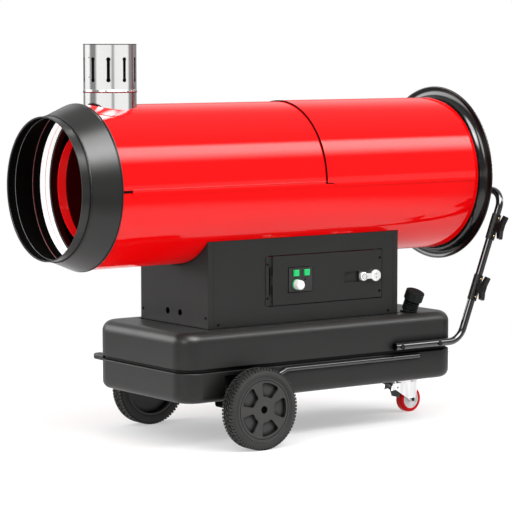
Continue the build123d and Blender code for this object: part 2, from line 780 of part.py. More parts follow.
def make_fan():
    middle = FAN_FRONT + FAN_HUB_LENGTH / 2
    fan = body_rod(FAN_HUB_R, FAN_FRONT, FAN_FRONT + FAN_HUB_LENGTH)
    fan = fillet(fan.edges().filter_by(GeomType.CIRCLE).sort_by(Axis.X)[-1], FAN_HUB_R / 5)
    blade = Pos(0, 0, FAN_R / 2) * Box(BLADE_CHORD, BLADE_SHEET, FAN_R)
    blade = Pos(at(middle), 0, AXIS_Z) * Rot(0, 0, BLADE_PITCH) * blade
    blade &= body_tube(FAN_R, FAN_HUB_R * 0.9, middle - BLADE_CHORD, middle + BLADE_CHORD)
    for number in range(FAN_BLADES):
        fan += around_body(number * 360 / FAN_BLADES, blade)
    shaft_start = MOTOR_FRONT + MOTOR_LENGTH / 5 + 1
    return fan + body_rod(SHAFT_R, shaft_start, FAN_FRONT + FAN_HUB_LENGTH + SHAFT_R)


# Control box


def make_box_side(side):
    y = sorted((side * (BOX_SIDE - SHEET), side * BOX_SIDE))
    x = (at(BOX_FRONT + END_FLANGE + FLANGE_GAP), at(BOX_REAR - END_FLANGE - FLANGE_GAP))
    panel = block(x, y, (TANK_TOP, BOX_TOP))
    if side < 0:
        opening = block(
            (at(HINGE_PLACE - HINGE_OFFSET - 2), at(DOOR_RIGHT + DOOR_GAP)),
            (-BOX_SIDE - 1, SHEET - BOX_SIDE + 1),
            (DOOR_BOTTOM - DOOR_GAP, DOOR_TOP + DOOR_GAP),
        )
        panel -= opening
    return panel


def make_box_end(place, inward):
    outer = place
    inner = place + inward * SHEET
    reach = place + inward * END_FLANGE
    web = block(sorted((at(outer), at(inner))), (-BOX_SIDE, BOX_SIDE), (TANK_TOP, AXIS_Z))
    for side in (-1, 1):
        y = sorted((side * (BOX_SIDE - SHEET), side * BOX_SIDE))
        web += block(sorted((at(outer), at(reach))), y, (TANK_TOP, BOX_TOP))
    return web - body_rod(CASING_R + BODY_FIT, place - 30, place + 30)


def make_box_front():
    panel = make_box_end(BOX_FRONT, 1)
    for side in (-1, 1):
        y = side * ENTRY_PITCH / 2
        z = TANK_TOP + ENTRY_RISE
        panel -= rod((at(BOX_FRONT - 5), y, z), (at(BOX_FRONT + 5), y, z), ENTRY_R)
    return panel


def make_box_floor():
    inset = SHEET + SEAT
    x = (at(BOX_FRONT + inset), at(BOX_REAR - inset))
    y = (-BOX_SIDE + inset, BOX_SIDE - inset)
    floor = block(x, y, (TANK_TOP, TANK_TOP + SHEET))
    for side in (-1, 1):
        rail_y = sorted((side * (BOX_SIDE - 24), side * (BOX_SIDE - 14)))
        floor += block(x, rail_y, (DECK_Z, TANK_TOP + 0.5))
    for offset in LINE_OFFSETS:
        floor -= line_hole(offset, LINE_HOLE_R).moved(Pos(0, 0, -20))
    return floor


def make_control_board():
    floor = TANK_TOP + SHEET
    left, right = DOOR_LEFT + TRAY_INSET, PUMP_PLACE - 2 * TRAY_INSET
    tray = block((at(left), at(right)), (-TRAY_DEPTH, 0), (floor, floor + SHEET))
    tray += block((at(left), at(right)), (-SHEET, 0), (floor, floor + TRAY_HEIGHT))
    low, middle, high = floor + TRAY_INSET, floor + TRAY_HEIGHT / 2, floor + TRAY_HEIGHT * 0.9
    terminals = board_block((left + 20, left + 160), 22, (low, middle - 15))
    relay = board_block((left + 30, left + 100), 42, (middle, high))
    contactor = board_block((right - 67, right - 12), 50, (middle - 10, high))
    return [tray, terminals, fillet(relay.edges().filter_by(Axis.Y), 5), contactor]


def board_block(span, depth, z):
    return block((at(span[0]), at(span[1])), (-SHEET - depth, -SHEET), z)


# Control door


def make_control_door():
    front = -BOX_SIDE - SHEET
    back = -BOX_SIDE
    x = (at(DOOR_LEFT), at(DOOR_RIGHT))
    z = (DOOR_BOTTOM, DOOR_TOP)
    door = block(x, (front, back), z)
    inner = (back - 0.5, back + DOOR_FLANGE)
    for height in (DOOR_BOTTOM, DOOR_TOP - SHEET):
        door += block(x, inner, (height, height + SHEET))
    door += block((at(DOOR_RIGHT - SHEET), at(DOOR_RIGHT)), inner, z)
    middle = (DOOR_BOTTOM + DOOR_TOP) / 2
    reach = (middle - KNUCKLE_LENGTH / 2, middle + KNUCKLE_LENGTH / 2)
    hinge = (at(HINGE_PLACE), -BOX_SIDE)
    door += rod((*hinge, reach[0]), (*hinge, reach[1]), KNUCKLE_R)
    door += block((at(HINGE_PLACE), at(DOOR_LEFT + 1)), (front, back), reach)
    door -= rod((*hinge, reach[0] - 1), (*hinge, reach[1] + 1), HINGE_PIN_R + RUNNING_FIT)
    door -= block((at(WINDOW_LEFT), at(WINDOW_RIGHT)), (front - 1, back + 1), (WINDOW_BOTTOM, WINDOW_TOP))
    door = add_pull_cup(door, front)
    x, z = at(LATCH_PLACE), LATCH_Z
    return door - rod((x, front - 1, z), (x, back + 1, z), LATCH_SHAFT_R + RUNNING_FIT)


def add_pull_cup(door, front):
    x = (at(CUP_RIGHT - CUP_WIDTH), at(CUP_RIGHT))
    z = (LATCH_Z - CUP_HEIGHT / 2, LATCH_Z + CUP_HEIGHT / 2)
    pan = block(
        (x[0] - SHEET, x[1] + SHEET),
        (front + 0.5, front + CUP_DEPTH + SHEET),
        (z[0] - SHEET, z[1] + SHEET),
    )
    return door + pan - block(x, (front - 1, front + CUP_DEPTH), z)


def make_hinge():
    sheet = (-BOX_SIDE - LEAF_SHEET, -BOX_SIDE)
    right = HINGE_PLACE - HINGE_OFFSET - 1
    leaf = block((at(right - HINGE_LEAF), at(right)), sheet, (DOOR_BOTTOM, DOOR_TOP))
    pin = (at(HINGE_PLACE), -BOX_SIDE)
    hinge = leaf + rod((*pin, DOOR_BOTTOM), (*pin, DOOR_TOP), HINGE_PIN_R)
    for low in (DOOR_BOTTOM, DOOR_TOP - KNUCKLE_LENGTH):
        span = (low, low + KNUCKLE_LENGTH)
        hinge += rod((*pin, span[0]), (*pin, span[1]), KNUCKLE_R)
        hinge += block((at(right - 1), at(HINGE_PLACE)), sheet, span)
    return hinge


def make_control_plate():
    back = -BOX_SIDE
    plate = block(
        (at(WINDOW_LEFT - PLATE_LAP), at(WINDOW_RIGHT + PLATE_LAP)),
        (back, back + SHEET),
        (WINDOW_BOTTOM - PLATE_LAP, WINDOW_TOP + PLATE_LAP),
    )
    half = BUTTON / 2 + BUTTON_FIT
    for place in BUTTON_PLACES:
        plate -= block(
            (at(place) - half, at(place) + half),
            (back - 1, back + SHEET + 1),
            (BUTTON_Z - half, BUTTON_Z + half),
        )
    spindle = SPINDLE_R + RUNNING_FIT
    return plate - rod((at(KNOB_PLACE), back - 1, KNOB_Z), (at(KNOB_PLACE), back + 5, KNOB_Z), spindle)


def make_push_button(place):
    back = -BOX_SIDE + SHEET
    front = -BOX_SIDE - SHEET - BUTTON_PROUD
    half = BUTTON / 2
    x, z = at(place), BUTTON_Z
    cap = block((x - half, x + half), (front, back + 3), (z - half, z + half))
    cap = fillet(cap.edges().group_by(Axis.Y)[0], 1.5)
    rim = half + BUTTON_RIM
    return cap + block((x - rim, x + rim), (back + SEAT, back + BUTTON_RIM), (z - rim, z + rim))


def make_switch_block():
    back = -BOX_SIDE + SHEET
    left = at(BUTTON_PLACES[0]) - BUTTON / 2 - SWITCH_MARGIN
    right = at(BUTTON_PLACES[1]) + BUTTON / 2 + SWITCH_MARGIN
    low = BUTTON_Z - BUTTON / 2 - SWITCH_WALL - BUTTON_RIM
    high = BUTTON_Z + BUTTON / 2 + SWITCH_WALL + BUTTON_RIM
    hollow = (back - 1, back + SWITCH_WALL + BUTTON_RIM + 1)
    switches = block((left, right), (back, back + SWITCH_DEPTH), (low, high))
    switches -= block((left + SWITCH_WALL, right - SWITCH_WALL), hollow, (low + 3, high - 3))
    x = at(KNOB_PLACE)
    body = rod((x, back, KNOB_Z), (x, back + 2 * SPINDLE_REACH, KNOB_Z), KNOB_R - 2)
    spindle = SPINDLE_R + RUNNING_FIT
    body -= rod((x, back - 1, KNOB_Z), (x, back + SPINDLE_REACH + 1, KNOB_Z), spindle)
    return [switches, body]


def make_knob():
    plate = -BOX_SIDE
    dial = plate - BODY_FIT
    face = dial - DIAL_SHEET
    x, z = at(KNOB_PLACE), KNOB_Z
    knob = rod((x, dial, z), (x, face, z), DIAL_R)
    grip = rod((x, face, z), (x, face - KNOB_DEPTH, z), KNOB_R)
    knob += fillet(grip.edges().sort_by(Axis.Y)[0], 2)
    return knob + rod((x, dial, z), (x, plate + SHEET + SPINDLE_REACH, z), SPINDLE_R)


def make_latch():
    face = -BOX_SIDE - SHEET - BODY_FIT
    x, z = at(LATCH_PLACE), LATCH_Z
    tip = x - LATCH_SPAN
    latch = rod((x, face, z), (x, face - LATCH_PROUD / 2, z), LATCH_R)
    hexagon = Plane(origin=(x, face, z), z_dir=(0, -1, 0)) * RegularPolygon(LATCH_R - 2, 6)
    latch += extrude(hexagon, LATCH_PROUD)
    boss = rod((tip, face, z), (tip, face - LATCH_PROUD, z), LATCH_TIP_R)
    latch += fillet(boss.edges().filter_by(GeomType.CIRCLE).sort_by(Axis.Y)[0], 3)
    latch += block((tip, x), (face - LATCH_PROUD + 3, face - 1), (z - LATCH_BAR / 2, z + LATCH_BAR / 2))
    near = -BOX_SIDE + DOOR_FLANGE + 1
    cam_x = (x - CAM_HALF, x + CAM_HALF)
    latch += rod((x, face - 1, z), (x, near + 1, z), LATCH_SHAFT_R)
    cam = block(cam_x, (near, near + CAM_SHEET), (z - CAM_REACH, z + CAM_HALF))
    return latch + fillet(cam.edges().filter_by(Axis.Y), CAM_HALF - 1)


def screw_head(centre, direction, radius):
    tip = Vector(*centre) + Vector(*direction) * (radius * 0.7)
    head = rod(centre, tuple(tip), radius)
    return fillet(head.edges().filter_by(GeomType.CIRCLE).sort_by(Axis(centre, direction))[-1], radius * 0.4)


def make_box_screws():
    heads = []
    for height in (DOOR_BOTTOM + LEAF_SCREW_INSET, DOOR_TOP - LEAF_SCREW_INSET):
        leaf_x = at(HINGE_PLACE - HINGE_OFFSET - 1 - HINGE_LEAF / 2)
        heads.append(screw_head((leaf_x, -BOX_SIDE - LEAF_SHEET, height), (0, -1, 0), SCREW_R))
    for side in (-1, 1):
        y = side * (BOX_SIDE - END_SCREW_INSET)
        height = TANK_TOP + END_SCREW_RISE
        for place, direction in ((BOX_FRONT, -1), (BOX_REAR, 1)):
            heads.append(screw_head((at(place), y, height), (direction, 0, 0), SCREW_R))
        height = TANK_TOP + SIDE_SCREW_RISE
        for place in (BOX_FRONT + SIDE_SCREW_INSET, BOX_REAR - SIDE_SCREW_INSET):
            heads.append(screw_head((at(place), side * BOX_SIDE, height), (0, side, 0), SCREW_R))
    return heads


# Fuel tank


def plan_block(inset, z, corner):
    length = TANK_LENGTH - 2 * inset
    outline = RectangleRounded(length, TANK_WIDTH - 2 * inset, corner)
    return Pos(at((TANK_FRONT + TANK_REAR) / 2), 0, z[0]) * extrude(outline, z[1] - z[0])


def rounded_plan(inset, z, radius, level):
    shape = plan_block(inset, z, TANK_CORNER_R - inset)
    return fillet(shape.edges().group_by(Axis.Z)[level], radius)


def make_tank_upper():
    shell = rounded_plan(0, (TANK_SEAM_Z, TANK_TOP), TANK_TOP_R, -1)
    shell = fillet(shell.edges().group_by(Axis.Z)[0], 2)
    x = (at(BOX_FRONT - DECK_MARGIN), at(BOX_REAR + DECK_MARGIN))
    side = BOX_SIDE + DECK_MARGIN
    deck = block(x, (-side, side), (DECK_Z, TANK_TOP + 1))
    shell -= fillet(deck.edges().filter_by(Axis.Z), DECK_MARGIN)
    room_top = DECK_Z - TANK_WALL
    shell -= rounded_plan(TANK_WALL, (TANK_SEAM_Z + TANK_WALL, room_top), TANK_TOP_R - DECK_DROP, -1)
    mouth = GROOVE_DEPTH + TANK_WALL
    shell -= plan_block(mouth, (TANK_SEAM_Z - 1, room_top), TANK_CORNER_R - mouth)
    shell -= neck_rod(NECK_R - NECK_WALL, -NECK_LENGTH / 2, NECK_LENGTH / 2)
    for offset in LINE_OFFSETS:
        pipe = (at(PUMP_PLACE), offset)
        shell -= rod((*pipe, room_top - 1), (*pipe, TANK_TOP), LINE_R + SEAT)
    for place in TUBE_BOLT_PLACES:
        ends = [(at(place), side * TANK_WIDTH, TUBE_Z) for side in (-1, 1)]
        shell -= rod(*ends, TUBE_BOLT_R + SEAT)
    return shell


def arch(side, offset):
    inner = TANK_SIDE - ARCH_DEPTH - offset
    outer = TANK_SIDE + ARCH_DEPTH
    front = AXLE_PLACE - ARCH_LENGTH / 2 - offset
    rear = AXLE_PLACE + ARCH_LENGTH / 2 + offset
    corners = [
        (at(front - ARCH_FRONT_SLOPE), TANK_SIDE),
        (at(front), inner),
        (at(rear), inner),
        (at(rear + ARCH_REAR_SLOPE), TANK_SIDE),
        (at(rear + ARCH_REAR_SLOPE), outer),
        (at(front - ARCH_FRONT_SLOPE), outer),
    ]
    outline = make_face(Polyline(*corners, close=True))
    outline = fillet(outline.vertices().group_by(Axis.Y)[0], ARCH_CORNER_R)
    roof = GROOVE_Z - ARCH_ROOF + offset
    cutter = Pos(0, 0, TANK_BOTTOM - 1) * extrude(outline, roof - TANK_BOTTOM + 1)
    return cutter if side > 0 else mirror(cutter, about=Plane.XZ)


def make_rail(side):
    rear = TANK_REAR - RAIL_SETBACK
    y = side * (TANK_SIDE + RAIL_PROUD - RAIL_R)
    z = GROOVE_Z - RAIL_DROP - RAIL_R
    bend = (at(rear - RAIL_LENGTH), y, z)
    foot = (at(rear - RAIL_LENGTH - RAIL_END_RUN), y, z - RAIL_END_DROP)
    rail = rod(bend, (at(rear), y, z), RAIL_R) + Pos(*bend) * Sphere(RAIL_R)
    return rail + rod(foot, bend, RAIL_R) + Pos(*foot) * Sphere(RAIL_R)


def make_tank_lower():
    shell = rounded_plan(0, (TANK_BOTTOM, GROOVE_Z), TANK_BOTTOM_R, 0)
    shell = fillet(shell.edges().group_by(Axis.Z)[-1], 3)
    for side in (-1, 1):
        shell -= arch(side, 0)
        shell += make_rail(side)
    shell += plan_block(GROOVE_DEPTH, (GROOVE_Z - 1, TANK_SEAM_Z), TANK_CORNER_R - GROOVE_DEPTH)
    inside = (TANK_BOTTOM + TANK_WALL, GROOVE_Z - TANK_WALL)
    room = rounded_plan(TANK_WALL, inside, TANK_BOTTOM_R - TANK_WALL, 0)
    for side in (-1, 1):
        room -= arch(side, TANK_WALL)
    mouth = GROOVE_DEPTH + TANK_WALL
    room += plan_block(mouth, (GROOVE_Z - TANK_WALL - 1, TANK_SEAM_Z + 1), TANK_CORNER_R - mouth)
    return shell - room


def neck_point(distance):
    out = radians(NECK_LEAN_OUT)
    back = radians(NECK_LEAN_BACK)
    x = at(BOX_REAR + NECK_SETBACK) + distance * sin(back)
    y = NECK_INSET - TANK_SIDE - distance * sin(out) * cos(back)
    return (x, y, TANK_TOP + distance * cos(out) * cos(back))


def neck_rod(radius, start, end):
    return rod(neck_point(start), neck_point(end), radius)


def make_filler_neck():
    neck = neck_rod(NECK_R, -NECK_FOOT_RISE, NECK_LENGTH)
    for number in range(NECK_RIBS):
        start = NECK_R + number * NECK_RIB_PITCH
        neck += neck_rod(NECK_R + NECK_RIB_RISE, start, start + NECK_RIB_WIDTH)
    foot = (neck_point(0)[0], neck_point(0)[1])
    neck += rod((*foot, TANK_TOP), (*foot, TANK_TOP + NECK_FOOT_HEIGHT), NECK_R + NECK_FOOT_RISE)
    neck -= neck_rod(NECK_R - NECK_WALL, -NECK_R, NECK_LENGTH + 1)
    wide = 3 * NECK_R
    below = block((foot[0] - wide, foot[0] + wide), (foot[1] - wide, foot[1] + wide), (GROOVE_Z, TANK_TOP))
    return neck - below


def make_fuel_cap():
    low = NECK_LENGTH + CAP_TOP - CAP_HEIGHT
    plane = Plane(origin=neck_point(low), z_dir=Vector(*neck_point(1)) - Vector(*neck_point(0)))
    outline = RegularPolygon(CAP_R, CAP_LOBES)
    reach = CAP_R + 0.64 * CAP_NOTCH_R
    for number in range(CAP_LOBES):
        angle = radians(number * 360 / CAP_LOBES)
        outline -= Pos(reach * cos(angle), reach * sin(angle)) * Circle(CAP_NOTCH_R)
    cap = extrude(outline, CAP_HEIGHT)
    top = extrude(Circle(CAP_R - 0.7 * CAP_NOTCH_R), CAP_HEIGHT + CAP_CROWN)
    cap += fillet(top.edges().group_by(Axis.Z)[-1], 0.8 * CAP_CROWN)
    cap -= extrude(Circle(NECK_R + SEAT + BODY_FIT / 3), CAP_HEIGHT - CAP_TOP + BODY_FIT)
    return plane * cap


def make_tank_lug():
    x = at(TANK_FRONT + LUG_SETBACK)
    end = TANK_SIDE + LUG_REACH
    z = (GROOVE_Z - LUG_HEIGHT + GROOVE_DEPTH, GROOVE_Z + GROOVE_DEPTH)
    lug = block((x - LUG_WIDTH / 2, x + LUG_WIDTH / 2), (TANK_SIDE - LUG_REACH, end), z)
    lug = fillet(lug.edges().filter_by(Axis.Z).group_by(Axis.Y)[-1], LUG_WIDTH / 2 - 1)
    lug = fillet(lug.edges().group_by(Axis.Z)[-1] + lug.edges().group_by(Axis.Z)[0], LUG_ROUNDING)
    eye = end - LUG_WIDTH / 2
    lug -= rod((x, eye, z[0] - 1), (x, eye, z[1] + 1), LUG_HOLE_R)
    return lug - plan_block(-SEAT, (z[0] - 1, z[1] + 1), TANK_CORNER_R + SEAT)


def make_drain_plug():
    x, y = at(TANK_REAR - DRAIN_SETBACK), -DRAIN_OFFSET
    collar_foot = TANK_BOTTOM - DRAIN_COLLAR
    plug = rod((x, y, collar_foot), (x, y, TANK_BOTTOM), DRAIN_R)
    hexagon = extrude(RegularPolygon(0.75 * DRAIN_R, 6), DRAIN_HEAD + 0.5)
    hexagon = Pos(x, y, collar_foot - DRAIN_HEAD) * hexagon
    return plug + hexagon


def make_fuel_filter():
    x, y = at(PUMP_PLACE), LINE_OFFSETS[0]
    low = TANK_TOP + FILTER_RISE
    head = low + FILTER_HEIGHT * 0.75
    bowl = rod((x, y, low), (x, y, head), FILTER_R)
    bowl = fillet(bowl.edges().group_by(Axis.Z)[0], FILTER_R / 2)
    return bowl + rod((x, y, head), (x, y, low + FILTER_HEIGHT), FILTER_R * 1.15)


def make_fuel_lines():
    x = at(PUMP_PLACE)
    low = DECK_Z - TANK_WALL - LINE_DIP
    supply, back = LINE_OFFSETS
    filter_low = TANK_TOP + FILTER_RISE
    return [
        rod((x, supply, low), (x, supply, filter_low), LINE_R),
        rod((x, supply, filter_low + FILTER_HEIGHT), (x, supply, PUMP_BOTTOM), LINE_R),
        rod((x, back, low), (x, back, PUMP_BOTTOM), LINE_R),
    ]


# Wheels


def axle_rod(radius, start, end):
    x = at(AXLE_PLACE)
    return rod((x, start, WHEEL_R), (x, end, WHEEL_R), radius)


def make_axle():
    end = WHEEL_OUTER - AXLE_END_SINK
    axle = axle_rod(AXLE_R, -end, end)
    for side in (-1, 1):
        collar = side * (WHEEL_INNER - BODY_FIT)
        axle += axle_rod(AXLE_R + 5, side * BRACKET_SPREAD + side * 3, collar)
    return axle


def make_axle_brackets():
    brackets = []
    x = at(AXLE_PLACE)
    for side in (-1, 1):
        y = side * (BRACKET_SPREAD - BRACKET_WIDTH / 2)
        span = (y - BRACKET_WIDTH / 2, y + BRACKET_WIDTH / 2)
        top = TANK_BOTTOM
        half = BRACKET_LENGTH / 2
        bracket = block((x - half, x + half), span, (top - BRACKET_SHEET, top))
        cheek = AXLE_R + RUNNING_FIT + BRACKET_CHEEK
        bracket += block((x - cheek, x + cheek), span, (WHEEL_R - cheek, top))
        bracket = fillet(bracket.edges().filter_by(Axis.Y).group_by(Axis.Z)[0], BRACKET_CHEEK)
        bolt = half - BRACKET_CHEEK
        for place in (x - bolt, x + bolt):
            bracket += bolt_head(place, y, top - BRACKET_SHEET, BRACKET_BOLT_R)
        brackets.append(bracket - axle_rod(AXLE_R + SEAT, span[0] - 1, span[1] + 1))
    return brackets


def make_wheel_tyre(side):
    start, end = side * WHEEL_INNER, side * WHEEL_OUTER
    tyre = axle_rod(WHEEL_R, start, end)
    tyre = fillet(tyre.edges().filter_by(GeomType.CIRCLE), WHEEL_ROUND)
    return tyre - axle_rod(RIM_R + SEAT, start - side, end + side)


def pocket_face():
    sector = Circle(RIM_R - POCKET_INSET) - Circle(HUB_R + POCKET_INSET)
    half = radians(180 / POCKETS) * 0.72
    far = 2 * RIM_R
    wedge = make_face(Polyline((0, 0), (far, far * sin(half)), (far, -far * sin(half)), close=True))
    face = sector & wedge
    return fillet(face.vertices(), RIM_WALL)


def make_wheel_rim(side):
    outer = side * (WHEEL_OUTER - RIM_SINK)
    inner = side * (WHEEL_INNER + RIM_SINK)
    rim = axle_rod(RIM_R, inner, outer)
    well = axle_rod(RIM_R - RIM_WALL, inner - side, inner + side * RIM_WELL)
    well -= axle_rod(HUB_R, inner - 2 * side, inner + 2 * side * RIM_WELL)
    rim -= well
    x = at(AXLE_PLACE)
    plane = Plane(origin=(x, outer + side, WHEEL_R), x_dir=(1, 0, 0), z_dir=(0, -side, 0))
    cutter = plane * extrude(pocket_face(), POCKET_DEPTH + 1)
    axis = Axis((x, 0, WHEEL_R), (0, 1, 0))
    for number in range(POCKETS):
        rim -= cutter.rotate(axis, number * 360 / POCKETS)
    groove = RIM_R - RIM_WALL
    ring = axle_rod(groove + 2, outer - side * RIM_SINK, outer + side)
    rim -= ring - axle_rod(groove, outer - 2 * side, outer + 2 * side)
    rim -= axle_rod(HUB_RECESS_R, outer - side * HUB_RECESS, outer + side)
    return rim - axle_rod(AXLE_R + RUNNING_FIT, inner - side, outer + side)


def make_axle_nuts():
    nuts = []
    for side in (-1, 1):
        seat = side * (WHEEL_OUTER - RIM_SINK - HUB_RECESS + BODY_FIT)
        nut = axle_rod(HUB_RECESS_R - 0.7, seat, seat + side * 5)
        nuts.append(nut - axle_rod(AXLE_R, seat - side, seat + side * 6))
    return nuts


# Handle


def handle_points(y):
    low = (at(TANK_REAR), y, TUBE_Z)
    return low, (at(BAR_PLACE), y, BAR_Z)


def make_handle_tube():
    start = at(TUBE_START)
    low, high = handle_points(-TUBE_Y)
    far_low, far_high = handle_points(TUBE_Y)
    route = [(start, -TUBE_Y, TUBE_Z), low, high, far_high, far_low, (start, TUBE_Y, TUBE_Z)]
    bends = [HANDLE_LOW_BEND, HANDLE_TOP_BEND, HANDLE_TOP_BEND, HANDLE_LOW_BEND]
    path = FilletPolyline(*route, radius=bends)
    section = Plane(origin=route[0], z_dir=(1, 0, 0)) * (Circle(TUBE_R) - Circle(TUBE_R - TUBE_WALL))
    tube = sweep(section, path=path)
    for side in (-1, 1):
        for place in TUBE_BOLT_PLACES:
            x = at(place)
            near, far = side * (TUBE_Y - 2 * TUBE_R), side * (TUBE_Y + 2 * TUBE_R)
            tube -= rod((x, near, TUBE_Z), (x, far, TUBE_Z), TUBE_BOLT_R + SEAT)
    return tube


def make_handle_bolts():
    bolts = []
    for side in (-1, 1):
        for place in TUBE_BOLT_PLACES:
            x = at(place)
            face = side * (TUBE_Y + TUBE_R)
            bolt = rod((x, side * (TANK_SIDE - TANK_WALL), TUBE_Z), (x, face, TUBE_Z), TUBE_BOLT_R)
            head = rod((x, face, TUBE_Z), (x, face + side * TUBE_BOLT_HEAD, TUBE_Z), TUBE_BOLT_HEAD_R)
            bolts.append(bolt + head)
    return bolts


def hook_plane(height):
    low, high = handle_points(-TUBE_Y)
    run = (Vector(*high) - Vector(*low)).normalized()
    along = height / run.Z
    centre = Vector(*low) + run * along
    across = run.cross(Vector(0, -1, 0))
    return Plane(origin=centre, x_dir=run, z_dir=across)


def make_hook(height):
    outer = TUBE_R + HOOK_WALL
    half = HOOK_LENGTH / 2
    plane = hook_plane(height)
    saddle = Rot(0, 90, 0) * Pos(0, 0, -half) * extrude(Circle(outer), HOOK_LENGTH)
    span = HOOK_SPAN / 2
    outline = make_face(Polyline(
        (-span, HOOK_REACH),
        (-HOOK_STEM, HOOK_REACH - HOOK_DISH),
        (HOOK_STEM, HOOK_REACH - HOOK_DISH),
        (span, HOOK_REACH),
        (span + 2, HOOK_REACH - HOOK_HORN),
        (HOOK_STEM, HOOK_REACH - 2 * HOOK_HORN),
        (HOOK_STEM, outer - HOOK_WALL),
        (-HOOK_STEM, outer - HOOK_WALL),
        (-HOOK_STEM, HOOK_REACH - 2 * HOOK_HORN),
        (-span - 2, HOOK_REACH - HOOK_HORN),
        close=True,
    ))
    outline = fillet(outline.vertices().group_by(Axis.Y)[-1], HOOK_HORN / 3)
    head = Pos(0, 0, -HOOK_WIDTH / 2) * extrude(outline, HOOK_WIDTH)
    hook = saddle + head
    bore = Rot(0, 90, 0) * Pos(0, 0, -half - 1) * extrude(Circle(TUBE_R + SEAT), HOOK_LENGTH + 2)
    hook -= bore
    back = Pos(0, -outer - 1, 0) * Box(HOOK_LENGTH + 4, 2 * (outer - HOOK_WALL), 4 * outer)
    return plane * (hook - back)


def make_cord_hooks():
    return [make_hook(height) for height in HOOK_HEIGHTS]


def make_hook_screws():
    screws = []
    for height in HOOK_HEIGHTS:
        plane = hook_plane(height)
        for place in (HOOK_SCREW_INSET - HOOK_LENGTH / 2, HOOK_LENGTH / 2 - HOOK_SCREW_INSET):
            centre = plane.from_local_coords(Vector(place, TUBE_R + HOOK_WALL, 0))
            screws.append(screw_head(tuple(centre), (0, -1, 0), SCREW_R))
    return screws


# Caster


def bolt_head(x, y, seat, radius):
    return Pos(x, y, seat - radius * 0.7) * extrude(RegularPolygon(radius, 6), radius * 0.7)


def caster_rod(radius, start, end):
    x = at(KINGPIN_PLACE + CASTER_TRAIL)
    return rod((x, start, CASTER_R), (x, end, CASTER_R), radius)


def kingpin_rod(radius, low, high):
    x = at(KINGPIN_PLACE)
    return rod((x, 0, low), (x, 0, high), radius)


def make_caster_bracket():
    drop = CASTER_HEIGHT
    x = (at(KINGPIN_PLACE) - CASTER_PLATE_LENGTH / 2, at(TANK_REAR) - 6)
    web = CASTER_PLATE_WIDTH / 2 + 20
    hat = block(x, (-web, web), (drop, drop + PLATE_SHEET))
    for side in (-1, 1):
        leg = sorted((side * (web - PLATE_SHEET), side * web))
        foot = sorted((side * (web - PLATE_SHEET), side * (web + HAT_FLANGE)))
        hat += block(x, leg, (drop, TANK_BOTTOM))
        hat += block(x, foot, (TANK_BOTTOM - PLATE_SHEET, TANK_BOTTOM))
        y = side * (web + HAT_FLANGE / 2)
        for place in (x[0] + 14, x[1] - 14):
            hat += bolt_head(place, y, TANK_BOTTOM - PLATE_SHEET, 8)
    return hat


def make_caster_plate():
    top = CASTER_HEIGHT
    x = at(KINGPIN_PLACE)
    half = CASTER_PLATE_LENGTH / 2
    side = CASTER_PLATE_WIDTH / 2
    plate = block((x - half, x + half), (-side, side), (top - PLATE_SHEET, top))
    plate = fillet(plate.edges().filter_by(Axis.Z), 6)
    plate += kingpin_rod(RACE_R, top - PLATE_SHEET - 6, top - PLATE_SHEET)
    for across in (-1, 1):
        for along in (-1, 1):
            plate += bolt_head(x + along * (half - 8), across * (side - 7), top - PLATE_SHEET, 6)
    return plate - kingpin_rod(5 + RUNNING_FIT, 0, top - 1)


def make_caster_fork():
    crown = CASTER_HEIGHT - PLATE_SHEET - 6 - BODY_FIT
    fork = kingpin_rod(RACE_R, crown - 6, crown)
    fork += kingpin_rod(5, crown - 1, crown + 7)
    x = at(KINGPIN_PLACE)
    axle_x = at(KINGPIN_PLACE + CASTER_TRAIL)
    inner = CASTER_WIDTH / 2 + FORK_GAP
    outer = inner + FORK_SHEET
    top = crown - 3
    side = make_face(Polyline(
        (x - 56, top),
        (axle_x + 26, top),
        (axle_x + 12, CASTER_R),
        (axle_x, CASTER_R - 11),
        (axle_x - 12, CASTER_R),
        (x - 44, top - 20),
        (x - 60, top - 22),
        close=True,
    ))
    side = fillet(side.vertices().group_by(Axis.Y)[0], 9)
    cheek = extrude(Plane.XZ * side, outer)
    cheek -= extrude(Plane.XZ * side, inner)
    fork += cheek + mirror(cheek, about=Plane.XZ)
    fork += block((x - 40, axle_x + 24), (-outer, outer), (top - FORK_SHEET, top))
    fork -= caster_rod(CASTER_AXLE_R, -outer - 1, outer + 1)
    pivot = pedal_pivot()
    hole = PEDAL_PIN_R + RUNNING_FIT
    fork -= rod((pivot[0], -outer - 1, pivot[1]), (pivot[0], outer + 1, pivot[1]), hole)
    return fork


def make_caster_tyre():
    half = CASTER_WIDTH / 2
    tyre = caster_rod(CASTER_R, -half, half)
    tyre = fillet(tyre.edges().filter_by(GeomType.CIRCLE), 7)
    return tyre - caster_rod(CASTER_R - 11 + SEAT, -half - 1, half + 1)


def make_caster_rim():
    half = CASTER_WIDTH / 2 - 2
    rim = caster_rod(CASTER_R - 11, -half, half)
    for side in (-1, 1):
        dish = caster_rod(CASTER_R - 15, side * (half - 5), side * (half + 1))
        rim -= dish - caster_rod(10, side * (half - 6), side * (half + 2))
    hub = CASTER_WIDTH / 2 + FORK_GAP - BODY_FIT
    rim += caster_rod(9, -hub, hub)
    return rim - caster_rod(CASTER_AXLE_R + RUNNING_FIT, -hub - 1, hub + 1)


def make_caster_axle():
    end = CASTER_WIDTH / 2 + FORK_GAP + FORK_SHEET
    axle = caster_rod(CASTER_AXLE_R, -end, end)
    for side in (-1, 1):
        axle += caster_rod(6.5, side * end, side * (end + 4))
    return axle


def pedal_pivot():
    return (at(KINGPIN_PLACE - PEDAL_LEAD), CASTER_HEIGHT - PEDAL_DROP)


